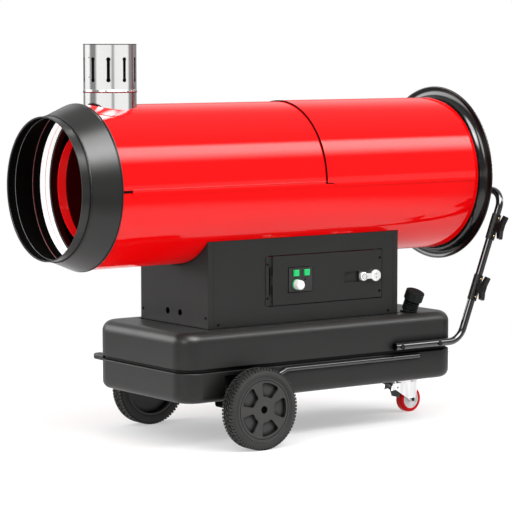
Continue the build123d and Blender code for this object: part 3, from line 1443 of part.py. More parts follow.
def make_brake_pedal():
    x, z = pedal_pivot()
    inner = CASTER_WIDTH / 2 + FORK_GAP - BODY_FIT
    reach = inner + FORK_SHEET + BODY_FIT
    pedal = rod((x, -reach, z), (x, reach, z), PEDAL_PIN_R)
    pedal += rod((x, -inner, z), (x, inner, z), 2 * PEDAL_PIN_R)
    outline = make_face(Polyline(
        (x - PEDAL_REACH, z + 12),
        (x - PEDAL_REACH + 5, z + 16),
        (x, z + 5),
        (x + 5, z),
        (x + 12, z - PEDAL_REACH + 4),
        (x + 6, z - PEDAL_REACH),
        (x - 4, z - 4),
        close=True,
    ))
    outline = fillet(outline.vertices(), 1.5)
    return pedal + extrude(Plane.XZ * outline, inner - 1, both=True)


def write(name, shape):
    solids = shape if isinstance(shape, list) else [shape]
    pieces = [solid for item in solids for solid in item.solids()]
    body = pieces[0] if len(pieces) == 1 else Compound(children=pieces)
    export_step(body, f"parts/{name}.step")


def main():
    os.makedirs("parts", exist_ok=True)
    write("outlet_adapter", make_outlet_adapter())
    write("front_hoop", make_front_hoop())
    write("rear_hoop", make_hoop(CASING_REAR - REAR_HOOP_LENGTH, CASING_REAR))
    write("lower_casing", make_lower_casing())
    write("front_cover", make_front_cover())
    write("rear_cover", make_rear_cover())
    write("inlet_ring", make_inlet_ring())
    write("inlet_guard", make_inlet_guard())
    write("liner_ring", make_liner_ring())
    write("inner_liner", make_inner_liner())
    write("exchanger_jacket", make_jacket())
    write("combustion_chamber", make_chamber())
    write("flue_spigot", make_flue_spigot())
    write("flue_sleeve", make_flue_sleeve())
    write("burner_body", make_burner())
    write("fuel_pump", make_fuel_pump())
    write("ignition_transformer", make_transformer())
    write("fan_motor", make_motor())
    write("motor_bracket", make_motor_bracket())
    write("fan", make_fan())
    write("box_side_left", make_box_side(-1))
    write("box_side_right", make_box_side(1))
    write("box_end_front", make_box_front())
    write("box_end_rear", make_box_end(BOX_REAR, -1))
    write("box_floor", make_box_floor())
    write("box_screws", make_box_screws())
    write("control_board", make_control_board())
    write("control_door", make_control_door())
    write("door_hinge", make_hinge())
    write("control_plate", [make_control_plate(), *make_switch_block()])
    write("start_button", make_push_button(BUTTON_PLACES[0]))
    write("stop_button", make_push_button(BUTTON_PLACES[1]))
    write("thermostat_knob", make_knob())
    write("door_latch", make_latch())
    write("tank_upper", make_tank_upper())
    write("tank_lower", make_tank_lower())
    write("tank_lug", make_tank_lug())
    write("filler_neck", make_filler_neck())
    write("fuel_cap", make_fuel_cap())
    write("drain_plug", make_drain_plug())
    write("fuel_filter", make_fuel_filter())
    write("fuel_lines", make_fuel_lines())
    write("axle", make_axle())
    write("axle_brackets", make_axle_brackets())
    write("axle_nuts", make_axle_nuts())
    for name, side in (("left", -1), ("right", 1)):
        write(f"wheel_tyre_{name}", make_wheel_tyre(side))
        write(f"wheel_rim_{name}", make_wheel_rim(side))
    write("handle_tube", make_handle_tube())
    write("handle_bolts", make_handle_bolts())
    write("cord_hooks", make_cord_hooks())
    write("hook_screws", make_hook_screws())
    write("caster_bracket", make_caster_bracket())
    write("caster_plate", make_caster_plate())
    write("caster_fork", make_caster_fork())
    write("caster_tyre", make_caster_tyre())
    write("caster_rim", make_caster_rim())
    write("caster_axle", make_caster_axle())
    write("brake_pedal", make_brake_pedal())


main()
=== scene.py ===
import json
from math import asin, cos, pi, radians, sin

import bmesh
import bpy
from mathutils import Matrix, Vector


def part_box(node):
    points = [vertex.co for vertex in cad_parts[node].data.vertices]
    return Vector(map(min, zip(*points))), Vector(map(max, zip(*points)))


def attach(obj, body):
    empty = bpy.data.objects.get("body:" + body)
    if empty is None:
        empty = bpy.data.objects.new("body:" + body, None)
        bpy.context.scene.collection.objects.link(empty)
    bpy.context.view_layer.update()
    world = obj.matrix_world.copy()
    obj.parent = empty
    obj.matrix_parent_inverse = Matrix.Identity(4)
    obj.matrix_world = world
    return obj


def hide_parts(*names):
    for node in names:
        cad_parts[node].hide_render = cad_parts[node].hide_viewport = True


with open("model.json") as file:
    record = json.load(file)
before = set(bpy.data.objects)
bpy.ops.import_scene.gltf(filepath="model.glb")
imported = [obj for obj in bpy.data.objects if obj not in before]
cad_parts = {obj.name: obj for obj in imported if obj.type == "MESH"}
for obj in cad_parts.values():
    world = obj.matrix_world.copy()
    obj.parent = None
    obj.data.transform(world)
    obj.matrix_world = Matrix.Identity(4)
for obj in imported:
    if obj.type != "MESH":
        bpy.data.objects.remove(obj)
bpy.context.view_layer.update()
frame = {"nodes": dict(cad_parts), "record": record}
HALF = 0.7518
MM = 0.001


def at(place):
    """X in metres of a place measured in mm from the outlet rim."""
    return place * MM - HALF


# Camera

CAMERA_PLACE = (-4.1373, -5.6257, 1.1672)
CAMERA_TURN = radians(36.197)
CAMERA_DIP = radians(5.294)
CAMERA_LENS = 165.64
CAMERA_SENSOR = 36.0
CAMERA_REACH = 200.0


def make_camera():
    data = bpy.data.cameras.new("camera")
    data.lens = CAMERA_LENS
    data.sensor_width = CAMERA_SENSOR
    data.clip_end = CAMERA_REACH
    camera = bpy.data.objects.new("camera", data)
    bpy.context.scene.collection.objects.link(camera)
    level = cos(CAMERA_DIP)
    looks = Vector((sin(CAMERA_TURN) * level, cos(CAMERA_TURN) * level, -sin(CAMERA_DIP)))
    camera.location = CAMERA_PLACE
    camera.rotation_euler = looks.to_track_quat("-Z", "Y").to_euler()
    bpy.context.scene.camera = camera


# Materials

NOISE_LOW, NOISE_HIGH = 0.2, 0.8
MOTTLE_DETAIL = 3.0
GRAIN_DETAIL = 2.0
CREASE_SHADE_SAMPLES = 6
CREASE_SHADE_POWER = 2.0
HINGE_SHADOW = (655.5, 656.5, 0.02)
DOOR_SHADOW = (664.6, 663.6, 0.02)
JACKET_SHADOW = (179, 183, 0.02)


def link(tree, source, output, target, entry):
    tree.links.new(source.outputs[output], target.inputs[entry])


def calc(tree, operation, first, second=0.0):
    """A math node on two values, each a socket or a number."""
    made = tree.nodes.new("ShaderNodeMath")
    made.operation = operation
    for entry, value in zip(made.inputs, (first, second)):
        if isinstance(value, (int, float)):
            entry.default_value = value
        else:
            tree.links.new(value, entry)
    return made.outputs[0]


def step_up(tree, value, low, high):
    """Runs smoothly from 0 to 1 as a value runs from low to high."""
    made = tree.nodes.new("ShaderNodeMapRange")
    made.interpolation_type = "SMOOTHSTEP"
    made.inputs["From Min"].default_value = low
    made.inputs["From Max"].default_value = high
    tree.links.new(value, made.inputs["Value"])
    return made.outputs["Result"]


def step_down(tree, value, low, high):
    return calc(tree, "SUBTRACT", 1.0, step_up(tree, value, low, high))


def both(tree, first, second):
    return calc(tree, "MULTIPLY", first, second)


def mixed(tree, base, value, share):
    """Moves a brightness towards a value by a share."""
    return calc(tree, "ADD", base, both(tree, share, calc(tree, "SUBTRACT", value, base)))


def noise(tree, place, scale, detail, stretch=None):
    """A noise over the surface, in the piece's own metres."""
    if stretch:
        mapping = tree.nodes.new("ShaderNodeMapping")
        mapping.inputs["Scale"].default_value = stretch
        link(tree, place, "Object", mapping, "Vector")
        place, output = mapping, "Vector"
    else:
        output = "Object"
    made = tree.nodes.new("ShaderNodeTexNoise")
    made.inputs["Scale"].default_value = scale
    made.inputs["Detail"].default_value = detail
    link(tree, place, output, made, "Vector")
    return made


def spread(tree, source, low, high):
    """Maps the middle of a noise to a range of values."""
    made = tree.nodes.new("ShaderNodeMapRange")
    made.inputs["From Min"].default_value = NOISE_LOW
    made.inputs["From Max"].default_value = NOISE_HIGH
    made.inputs["To Min"].default_value = low
    made.inputs["To Max"].default_value = high
    link(tree, source, "Fac", made, "Value")
    return made


def shaded_along(tree, place, ramp, shade_along):
    """Paints shade: takes a colour down to a share of itself between two places along the body."""
    first, last, share = shade_along
    split = tree.nodes.new("ShaderNodeSeparateXYZ")
    link(tree, place, "Object", split, "Vector")
    fade = tree.nodes.new("ShaderNodeMapRange")
    fade.inputs["From Min"].default_value = at(first)
    fade.inputs["From Max"].default_value = at(last)
    fade.inputs["To Min"].default_value = 1.0
    fade.inputs["To Max"].default_value = share
    link(tree, split, "X", fade, "Value")
    scaled = tree.nodes.new("ShaderNodeHueSaturation")
    link(tree, ramp, "Color", scaled, "Color")
    link(tree, fade, "Result", scaled, "Value")
    return scaled


def crease_shaded(tree, ramp, shader, reach, specular):
    """Paints shade into colour and gloss close to inner corners."""
    near = tree.nodes.new("ShaderNodeAmbientOcclusion")
    near.samples = CREASE_SHADE_SAMPLES
    near.inputs["Distance"].default_value = reach * MM
    openness = calc(tree, "POWER", near.outputs["AO"], CREASE_SHADE_POWER)
    tree.links.new(both(tree, openness, specular), shader.inputs["Specular IOR Level"])
    scaled = tree.nodes.new("ShaderNodeHueSaturation")
    link(tree, ramp, "Color", scaled, "Color")
    tree.links.new(openness, scaled.inputs["Value"])
    return scaled


def quietened(tree, tint, share):
    """Holds a colour back by a share in the reflections that its neighbours show."""
    path = tree.nodes.new("ShaderNodeLightPath")
    held = tree.nodes.new("ShaderNodeHueSaturation")
    link(tree, tint, "Color", held, "Color")
    kept = calc(tree, "SUBTRACT", 1.0, both(tree, path.outputs["Is Glossy Ray"], share))
    tree.links.new(kept, held.inputs["Value"])
    return held


def finish(name, colour, rough, metallic=0.0, mottle=0.05, mottle_scale=6.0, swing=0.05, swing_scale=14.0,
           grain=900.0, depth=0.02, strength=0.35, stretch=None, coat=0.0, coat_rough=0.08, specular=0.5,
           glow=0.0, shade_along=None, crease_shade=0.0, coat_ior=1.5, quiet=0.0):
    """A surface with its own drift of colour and of gloss and its own fine relief; depth is in mm.
    Given two places and a share for painted shade, the colour falls to that share between them along the
    body.
    A crease in mm paints shade into the surface that close to its inner corners.
    A quiet share holds its colour back in the reflections that its neighbours show."""
    material = bpy.data.materials.new(name)
    material.use_nodes = True
    tree = material.node_tree
    shader = tree.nodes["Principled BSDF"]
    shader.inputs["Metallic"].default_value = metallic
    shader.inputs["Specular IOR Level"].default_value = specular
    shader.inputs["Coat Weight"].default_value = coat
    shader.inputs["Coat Roughness"].default_value = coat_rough
    shader.inputs["Coat IOR"].default_value = coat_ior
    place = tree.nodes.new("ShaderNodeTexCoord")
    ramp = tree.nodes.new("ShaderNodeValToRGB")
    ramp.color_ramp.elements[0].position = NOISE_LOW
    ramp.color_ramp.elements[1].position = NOISE_HIGH
    ramp.color_ramp.elements[0].color = (*[value * (1 - mottle) for value in colour], 1)
    ramp.color_ramp.elements[1].color = (*[min(1, value * (1 + mottle)) for value in colour], 1)
    link(tree, noise(tree, place, mottle_scale, MOTTLE_DETAIL, stretch), "Fac", ramp, "Fac")
    tint = ramp
    if shade_along:
        tint = shaded_along(tree, place, ramp, shade_along)
    elif crease_shade:
        tint = crease_shaded(tree, ramp, shader, crease_shade, specular)
    if quiet:
        tint = quietened(tree, tint, quiet)
    link(tree, tint, "Color", shader, "Base Color")
    drift = noise(tree, place, swing_scale, MOTTLE_DETAIL, stretch)
    gloss = spread(tree, drift, rough - swing, rough + swing)
    link(tree, gloss, "Result", shader, "Roughness")
    bump = tree.nodes.new("ShaderNodeBump")
    bump.inputs["Strength"].default_value = strength
    bump.inputs["Distance"].default_value = depth * MM
    link(tree, noise(tree, place, grain, GRAIN_DETAIL, stretch), "Fac", bump, "Height")
    link(tree, bump, "Normal", shader, "Normal")
    if glow:
        link(tree, tint, "Color", shader, "Emission Color")
        shader.inputs["Emission Strength"].default_value = glow
    return material


def make_materials():
    round_pipe = (1.0, 1.0, 0.04)
    along_drum = (0.04, 1.0, 1.0)
    down_fork = (1.0, 1.0, 0.12)
    box_black = (0.0155, 0.0155, 0.015)
    return {
        # The casing's red glows a little of its own: painted light.
        "casing_red": finish("casing_red", (0.84, 0.001, 0.002), 0.5, mottle=0.015, swing=0.03, grain=420,
                             depth=0.01, strength=0.1, coat=0.7, coat_rough=0.05, specular=0.0, quiet=0.75,
                             glow=0.09),
        "sheet_black": finish("sheet_black", box_black, 0.46, mottle=0.08, swing=0.05,
                              grain=1500, depth=0.03, specular=0.28, crease_shade=9),
        "adapter_black": finish("adapter_black", (0.012, 0.012, 0.0115), 0.31, mottle=0.08, swing=0.03,
                                grain=1300, depth=0.02, specular=0.42, crease_shade=6),
        "bell_black": finish("bell_black", (0.004, 0.004, 0.004), 0.12, mottle=0.08, swing=0.03, grain=1000,
                             depth=0.01, specular=0.6),
        "hinge_black": finish("hinge_black", box_black, 0.46, grain=1500, specular=0.28,
                              shade_along=HINGE_SHADOW),
        # Near-black soot, also used as painted shade in gaps, slits and dark insides.
        "soot_and_shade": finish("soot_and_shade", (0.002, 0.002, 0.002), 0.9, mottle=0.3, mottle_scale=30, grain=900, depth=0.1,
                       specular=0.03),
        "sealant": finish("sealant", (0.2, 0.001, 0.002), 0.9, specular=0.0, mottle=0.2, mottle_scale=60,
                          grain=900),
        "tank_black": finish("tank_black", (0.0128, 0.0128, 0.0124), 0.36, mottle=0.08, swing=0.04,
                             grain=1100, depth=0.03, specular=0.34, crease_shade=22),
        # A darker copy of the tank's black for its lower half: painted shade, with painted shade far into
        # its corners.
        "tank_lower_shaded": finish("tank_lower_shaded", (0.0112, 0.0112, 0.0108), 0.36, mottle=0.08, swing=0.04,
                            grain=1100, depth=0.03, specular=0.32, crease_shade=60),
        "frame_black": finish("frame_black", (0.003, 0.003, 0.003), 0.1, mottle=0.08, swing=0.03, grain=700,
                              depth=0.02, specular=0.6, coat=0.6, coat_rough=0.03, coat_ior=1.6),
        # The bright ring is a white that glows: painted light.
        "liner_bright": finish("liner_bright", (0.86, 0.9, 0.9), 0.3, mottle=0.03, stretch=along_drum,
                               grain=500, swing=0.04, specular=0.3, glow=0.8),
        # Near black: painted shade on the liner behind the bright ring.
        "liner_steel": finish("liner_steel", (0.018, 0.018, 0.018), 0.08, 1.0, stretch=along_drum, grain=400,
                              swing=0.03),
        # The lip glows as painted light, and the colour falls away further in as painted shade.
        "jacket_red": finish("jacket_red", (0.84, 0.006, 0.008), 0.3, mottle=0.06, coat=0.6, grain=500,
                             shade_along=JACKET_SHADOW, glow=0.5),
        "chamber_steel": finish("chamber_steel", (0.12, 0.09, 0.08), 0.45, 0.8, mottle=0.2, grain=300,
                                swing=0.1),
        "flue_steel": finish("flue_steel", (0.88, 0.88, 0.875), 0.11, 1.0, mottle=0.03, stretch=round_pipe,
                             grain=700, depth=0.02, swing=0.03),
        "burner_casting": finish("burner_casting", (0.55, 0.55, 0.55), 0.48, 1.0, mottle=0.1, grain=900,
                                 depth=0.15, strength=0.6),
        "transformer_black": finish("transformer_black", (0.02, 0.02, 0.02), 0.45, grain=1400, depth=0.04),
        "motor_grey": finish("motor_grey", (0.2, 0.21, 0.23), 0.4, grain=900, depth=0.05),
        "fan_alloy": finish("fan_alloy", (0.6, 0.61, 0.62), 0.34, 1.0, grain=500, depth=0.04, swing=0.08),
        "button_green": finish("button_green", (0.005, 0.42, 0.11), 0.22, mottle=0.12, mottle_scale=90,
                               coat=0.8, grain=500, glow=0.35),
        "knob_white": finish("knob_white", (0.86, 0.86, 0.85), 0.25, mottle=0.03, coat=0.4, grain=900),
        # The latch glows a little: painted light.
        "latch_chrome": finish("latch_chrome", (1.0, 1.0, 1.0), 0.22, 0.75, mottle=0.04, grain=700,
                               swing=0.05, glow=0.14),
        "screw_zinc": finish("screw_zinc", (0.16, 0.16, 0.16), 0.35, 1.0, mottle=0.2, mottle_scale=200,
                             grain=1500),
        "cap_black": finish("cap_black", (0.005, 0.006, 0.006), 0.46, grain=1300, depth=0.05, specular=0.18,
                            crease_shade=7),
        "filter_clear": finish("filter_clear", (0.6, 0.42, 0.12), 0.15, coat=0.6, grain=500),
        "line_copper": finish("line_copper", (0.7, 0.36, 0.2), 0.25, 1.0, mottle=0.15, grain=600),
        "wheel_tyre": finish("wheel_tyre", box_black, 0.62, mottle=0.15, swing=0.08,
                             swing_scale=40, grain=900, depth=0.12, strength=0.6, specular=0.4,
                             crease_shade=6),
        "wheel_rim": finish("wheel_rim", (0.021, 0.021, 0.0205), 0.5, mottle=0.08, grain=1100, depth=0.05,
                            crease_shade=14),
        "hook_black": finish("hook_black", (0.004, 0.004, 0.004), 0.36, grain=1000, depth=0.08, strength=0.6,
                             specular=0.32),
        "screw_brass": finish("screw_brass", (0.72, 0.52, 0.2), 0.26, 1.0, mottle=0.12, grain=1200),
        "caster_zinc": finish("caster_zinc", (0.74, 0.74, 0.75), 0.2, 1.0, mottle=0.3, mottle_scale=45,
                              swing=0.07, swing_scale=60, grain=700, stretch=down_fork),
        "caster_red": finish("caster_red", (0.53, 0.001, 0.002), 0.4, mottle=0.06, specular=0.12, grain=900),
        "caster_grey": finish("caster_grey", (0.72, 0.72, 0.72), 0.4, mottle=0.06, grain=900),
        "knob_green": finish("knob_green", (0.06, 0.45, 0.18), 0.2, mottle=0.1, grain=900, coat=0.5),
        # A lighter red for a painted highlight along the hem's edge.
        "hem_highlight_red": finish("hem_highlight_red", (0.95, 0.03, 0.035), 0.3, mottle=0.02, grain=420, specular=0.3),
        "door_black": finish("door_black", box_black, 0.46, mottle=0.08, swing=0.05, grain=1500,
                             depth=0.03, specular=0.28, shade_along=DOOR_SHADOW),
        # Grey for fold lines: painted highlights on the black adapter, painted shade in the bright ring's
        # groove.
        "fold_highlight_and_shade": finish("fold_highlight_and_shade", (0.2, 0.22, 0.22), 0.5, grain=900, specular=0.1),
        "rivet_grey": finish("rivet_grey", (0.12, 0.12, 0.12), 0.35, 0.8, grain=900),
        "rail_black": finish("rail_black", (0.006, 0.006, 0.006), 0.14, grain=900, depth=0.02, coat=0.5),
        "edge_dark": finish("edge_dark", (0.02, 0.02, 0.02), 0.3, 0.6, grain=900),
        "pedal_black": finish("pedal_black", (0.009, 0.009, 0.009), 0.42, grain=900, depth=0.06),
    }


# The front hoop is painted black as shade; the axle, its nuts and brackets and the box screws are simply
# dark; the lower tank half takes a darker, shaded copy of the tank's black.
FINISH_OF = {
    "front_hoop": "soot_and_shade", "outlet_adapter": "adapter_black", "inlet_ring": "bell_black",
    "door_hinge": "hinge_black", "control_door": "door_black", "axle": "soot_and_shade", "axle_nuts": "soot_and_shade",
    "axle_brackets": "soot_and_shade", "tank_lower": "tank_lower_shaded", "box_screws": "soot_and_shade",
}


def dress_nodes():
    """Gives each of the record's nodes the finish of its slot, or one of its own."""
    for row in frame["record"]["subparts"]:
        node = frame["nodes"][row["node"]]
        node.data.materials.clear()
        node.data.materials.append(materials[FINISH_OF.get(row["node"], row["material_slot"])])


# Mesh helpers

BEAD_SIDES = 8
ROUND_STEPS = 64
DOME_STEPS = 20
DOME_FOOT = 0.3
TIP_R = 0.01
BLOCK_FACES = ((0, 1, 3, 2), (4, 6, 7, 5), (0, 4, 5, 1), (2, 3, 7, 6), (0, 2, 6, 4), (1, 5, 7, 3))
WIRE_LEAN = (0.137, 0.211, 0.968)


def piece(name, body, slot, shape, smooth, finish_name=None):
    """Adds a finished shape to the scene as a piece of the heater that rides on a body.
    Edges sharper than smooth, in degrees, stay sharp."""
    mesh = from_bmesh(name, shape)
    for polygon in mesh.polygons:
        polygon.use_smooth = True
    mesh.set_sharp_from_angle(angle=radians(smooth))
    made = bpy.data.objects.new(name, mesh)
    bpy.context.scene.collection.objects.link(made)
    made.data.materials.append(materials[finish_name or slot])
    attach(made, body)
    return made


def from_bmesh(name, shape):
    bmesh.ops.recalc_face_normals(shape, faces=shape.faces)
    mesh = bpy.data.meshes.new(name)
    shape.to_mesh(mesh)
    shape.free()
    return mesh


def skin(shape, rings, closed):
    """Faces between neighbouring rings of corners, with flat ends where the rings don't close."""
    for number in range(len(rings) if closed else len(rings) - 1):
        ring, following = rings[number], rings[(number + 1) % len(rings)]
        for index in range(len(ring)):
            after = (index + 1) % len(ring)
            shape.faces.new((ring[index], following[index], following[after], ring[after]))
    if not closed:
        shape.faces.new(rings[0])
        shape.faces.new(list(reversed(rings[-1])))


def turned(shape, outline, matrix, steps):
    """Turns a closed outline of (radius, along) about the local Z axis and places it with a matrix."""
    rings = []
    for number in range(steps):
        angle = 2 * pi * number / steps
        rings.append([
            shape.verts.new(matrix @ Vector((radius * cos(angle), radius * sin(angle), along)))
            for radius, along in outline
        ])
    skin(shape, rings, True)


def turned_mm(shape, outline, matrix, steps):
    turned(shape, [(radius * MM, along * MM) for radius, along in outline], matrix, steps)


def bead_outline(radius, along, section):
    """The outline of a round bead, in mm."""
    turns = [2 * pi * number / BEAD_SIDES for number in range(BEAD_SIDES)]
    return [(radius + section * cos(turn), along + section * sin(turn)) for turn in turns]


def box_block(shape, low, high, matrix=Matrix.Identity(4)):
    """A closed box between two corners in metres, placed with a matrix."""
    corners = [
        shape.verts.new(matrix @ Vector((x, y, z)))
        for x in (low[0], high[0]) for y in (low[1], high[1]) for z in (low[2], high[2])
    ]
    for face in BLOCK_FACES:
        shape.faces.new([corners[index] for index in face])


def wire(shape, points, radius, sides, closed=False):
    """A round wire through points in metres, with flat ends where it isn't closed."""
    rings = []
    total = len(points)
    for number, point in enumerate(points):
        before = points[(number - 1) % total] if closed or number else point
        after = points[(number + 1) % total] if closed or number < total - 1 else point
        run = (after - before).normalized()
        across = run.cross(Vector(WIRE_LEAN)).normalized()
        up = across.cross(run)
        turns = [2 * pi * side / sides for side in range(sides)]
        rings.append([
            shape.verts.new(point + radius * (cos(turn) * across + sin(turn) * up)) for turn in turns
        ])
    skin(shape, rings, closed)


def dome(shape, radius, rise, matrix):
    """A closed low dome on the local XY plane, in mm."""
    outline = [
        (TIP_R, -DOME_FOOT), (radius, -DOME_FOOT), (radius, 0.0), (radius * 0.8, rise * 0.6), (TIP_R, rise),
    ]
    turned_mm(shape, outline, matrix, DOME_STEPS)


# Wheels

WHEEL_PLACE = 536.0
WHEEL_R = 117.0
WHEEL_INNER = 261.0
WHEEL_OUTER = 309.0
TREAD_SINK = 2.4
SHOULDER_LUGS = 70
CENTRE_LUGS = 46
LUG_TAPER = 0.9
LUG_NARROWING = 0.93
LUG_TOP_GAP = 0.1
SHOULDER_LUG = (2.2, 13.5)
SHOULDER_FOOT = 6.0
SHOULDER_WIDTH, SHOULDER_SKEW = 0.07, 0.012
CENTRE_LUG = (1.0, 8.5)
CENTRE_FOOT = 3.0
CENTRE_WIDTH, CENTRE_SKEW = 0.078, 0.03
TYRE_BORE_R = 90.4


def lug(shape, angle, span, low, high, width, skew, matrix):
    """One tread block: its foot stands in the tyre and its top is a little smaller than its foot."""
    corners = []
    for radius, taper, narrowing in ((low, 1.0, 1.0), (high, LUG_TAPER, LUG_NARROWING)):
        for y, lean in ((span[0], -skew), (span[1], skew)):
            middle = (span[0] + span[1]) / 2
            shifted = middle + (y - middle) * narrowing
            for side in (-1, 1):
                turn = angle + lean + side * width * taper / 2
                corners.append(shape.verts.new(
                    matrix @ Vector((radius * cos(turn), radius * sin(turn), shifted))
                ))
    for face in BLOCK_FACES:
        shape.faces.new([corners[index] for index in face])


def tread_row(shape, count, spans, foot, width, skew, matrix):
    """Two rows of tread blocks, half a block apart, that lean opposite ways."""
    high = (WHEEL_R - LUG_TOP_GAP) * MM
    outer, inner = [[place * MM for place in span] for span in spans]
    for number in range(count):
        angle = 2 * pi * number / count
        lug(shape, angle, outer, foot * MM, high, width, skew, matrix)
        lug(shape, angle + pi / count, inner, foot * MM, high, width, -skew, matrix)


def make_tyre(name, side):
    """A tyre with two rows of blocks on its shoulders and two at its middle; side is -1 for the left."""
    shape = bmesh.new()
    matrix = Matrix.Translation((at(WHEEL_PLACE), 0, WHEEL_R * MM)) @ Matrix.Rotation(-side * pi / 2, 4, "X")
    core = WHEEL_R - TREAD_SINK
    outline = [
        (TYRE_BORE_R, WHEEL_INNER + 1.5), (TYRE_BORE_R, WHEEL_OUTER - 1.5), (91.5, WHEEL_OUTER - 0.6),
        (93.5, WHEEL_OUTER - 0.4), (94.5, WHEEL_OUTER - 1.2), (95.8, WHEEL_OUTER - 1.2),
        (96.8, WHEEL_OUTER - 0.4), (103.5, WHEEL_OUTER - 0.2), (106.5, WHEEL_OUTER - 1.2),
        (core - 1.8, WHEEL_OUTER - 4.0), (core, WHEEL_OUTER - 8.0), (core, WHEEL_INNER + 8.0),
        (core - 1.8, WHEEL_INNER + 4.0), (106.5, WHEEL_INNER + 1.2), (103.5, WHEEL_INNER + 0.2),
        (93.5, WHEEL_INNER + 0.4), (91.5, WHEEL_INNER + 0.6),
    ]
    turned_mm(shape, outline, matrix, 2 * SHOULDER_LUGS)
    near, far = SHOULDER_LUG
    spans = ((WHEEL_OUTER - far, WHEEL_OUTER - near), (WHEEL_INNER + near, WHEEL_INNER + far))
    tread_row(shape, SHOULDER_LUGS, spans, core - SHOULDER_FOOT, SHOULDER_WIDTH, SHOULDER_SKEW, matrix)
    near, far = CENTRE_LUG
    middle = (WHEEL_INNER + WHEEL_OUTER) / 2
    spans = ((middle + near, middle + far), (middle - far, middle - near))
    tread_row(shape, CENTRE_LUGS, spans, core - CENTRE_FOOT, CENTRE_WIDTH, CENTRE_SKEW, matrix)
    body = "wheel_left" if side < 0 else "wheel_right"
    made = piece(name, body, "wheel_tyre", shape, 35)
    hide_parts("wheel_tyre_left" if side < 0 else "wheel_tyre_right")


# Outlet and drum

AXIS_Z = 0.747
DRUM_STEPS = 192
SPIGOT_BORE_R = 199.8
SPIGOT_END = 26.0
CASING_R = 232.0
LINING = 0.5
LINING_FRONT = 4.0
LINING_END, LINING_END_R = 103.0, 231.6
REAR_FOLD, REAR_FOLD_R = 101.0, 229.6
FOLD_R = 0.8
SEAM_ANGLE = -0.5
LINER_FOLD = 138.0
LINER_FOLD_R = 0.7
COVER_SHADOW, COVER_SHADOW_R = (814.6, 818.4), (231.9, 235.2)
SLIT, SLIT_HEIGHTS, SLIT_R = (108.0, 143.0), (-2.9, 2.9), (230.8, 234.3)
CORNER, CORNER_HEIGHTS, CORNER_R = (818.0, 840.0), (-2.6, -0.2), (234.6, 235.2)
COVER_STEPS = 128
HEM_R = 233.6
HEM_RISE = 5.0
HEM_ENDS = (144.0, 1386.0)
HEM_EDGE = 1.3


def drum_matrix():
    """Local Z runs along the drum from the outlet rim."""
    return Matrix.Translation((at(0), 0, AXIS_Z)) @ Matrix.Rotation(pi / 2, 4, "Y")


def drum_ring(shape, place, radius, section):
    """A round bead about the drum's axis."""
    turned_mm(shape, bead_outline(radius, place, section), drum_matrix(), DRUM_STEPS)


def drum_strip(shape, places, radii, angles, steps=1):
    """A strip on the drum; angles in degrees run from the control side over the top."""
    rings = []
    corners = ((places[0], radii[0]), (places[1], radii[0]), (places[1], radii[1]), (places[0], radii[1]))
    for number in range(steps + 1):
        angle = radians(angles[0] + (angles[1] - angles[0]) * number / steps)
        rings.append([
            shape.verts.new((at(place), -radius * MM * cos(angle), AXIS_Z + radius * MM * sin(angle)))
            for place, radius in corners
        ])
    skin(shape, rings, False)


def height_angle(height):
    """The angle on the casing of a height above the drum's axis, in mm."""
    return asin(height / CASING_R) * 180 / pi


def make_adapter_lining():
    """The inside of the adapter, heat-blackened and painted black as shade, and the fold lines in it,
    painted grey as highlights.
    """
    shape = bmesh.new()
    bore, end = SPIGOT_BORE_R, LINING_END_R
    outline = [
        (bore, LINING_FRONT), (bore, SPIGOT_END), (end, LINING_END), (end - LINING, LINING_END),
        (bore - LINING, SPIGOT_END), (bore - LINING, LINING_FRONT),
    ]
    turned_mm(shape, outline, drum_matrix(), DRUM_STEPS)
    piece("adapter_lining", "root", "sheet_black", shape, 20, finish_name="soot_and_shade")
    shape = bmesh.new()
    drum_ring(shape, SPIGOT_END, bore - LINING, FOLD_R)
    drum_ring(shape, REAR_FOLD, REAR_FOLD_R, FOLD_R)
    piece("adapter_folds", "root", "latch_chrome", shape, 60, finish_name="fold_highlight_and_shade")


def make_liner_groove():
    """The fold line round the middle of the bright ring, painted grey as shade in the groove."""
    ring = frame["nodes"]["liner_ring"]
    bore = min((vertex.co.yz - Vector((0, AXIS_Z))).length for vertex in ring.data.vertices) / MM
    shape = bmesh.new()
    drum_ring(shape, LINER_FOLD, bore, LINER_FOLD_R)
    piece("liner_fold", "root", "liner_bright", shape, 60, finish_name="fold_highlight_and_shade")


def make_drum_shadow_strips():
    """Painted shadow: black strips at the rear cover's front edge, in the slits and at the cover's corners,
    where the gaps fall in shade.
    """
    shape = bmesh.new()
    drum_strip(shape, COVER_SHADOW, COVER_SHADOW_R, (SEAM_ANGLE, 180 - SEAM_ANGLE), COVER_STEPS)
    for places, heights, radii in ((SLIT, SLIT_HEIGHTS, SLIT_R), (CORNER, CORNER_HEIGHTS, CORNER_R)):
        near = [height_angle(height) for height in heights]
        far = [180 - angle for angle in near]
        drum_strip(shape, places, radii, near)
        drum_strip(shape, places, radii, far)
    piece("drum_shadow_strips", "root", "sheet_black", shape, 30, finish_name="soot_and_shade")


def make_hem_line():
    """The folded upper edge of the lower casing's hem, on both sides, in a lighter red as a painted
    highlight.
    """
    shape = bmesh.new()
    for side in (-1, 1):
        y = side * (HEM_R ** 2 - HEM_RISE ** 2) ** 0.5 * MM
        ends = [Vector((at(place), y, AXIS_Z + HEM_RISE * MM)) for place in HEM_ENDS]
        wire(shape, ends, HEM_EDGE * MM, BEAD_SIDES)
    piece("hem_highlight", "root", "casing_red", shape, 60, finish_name="hem_highlight_red")


# Control side

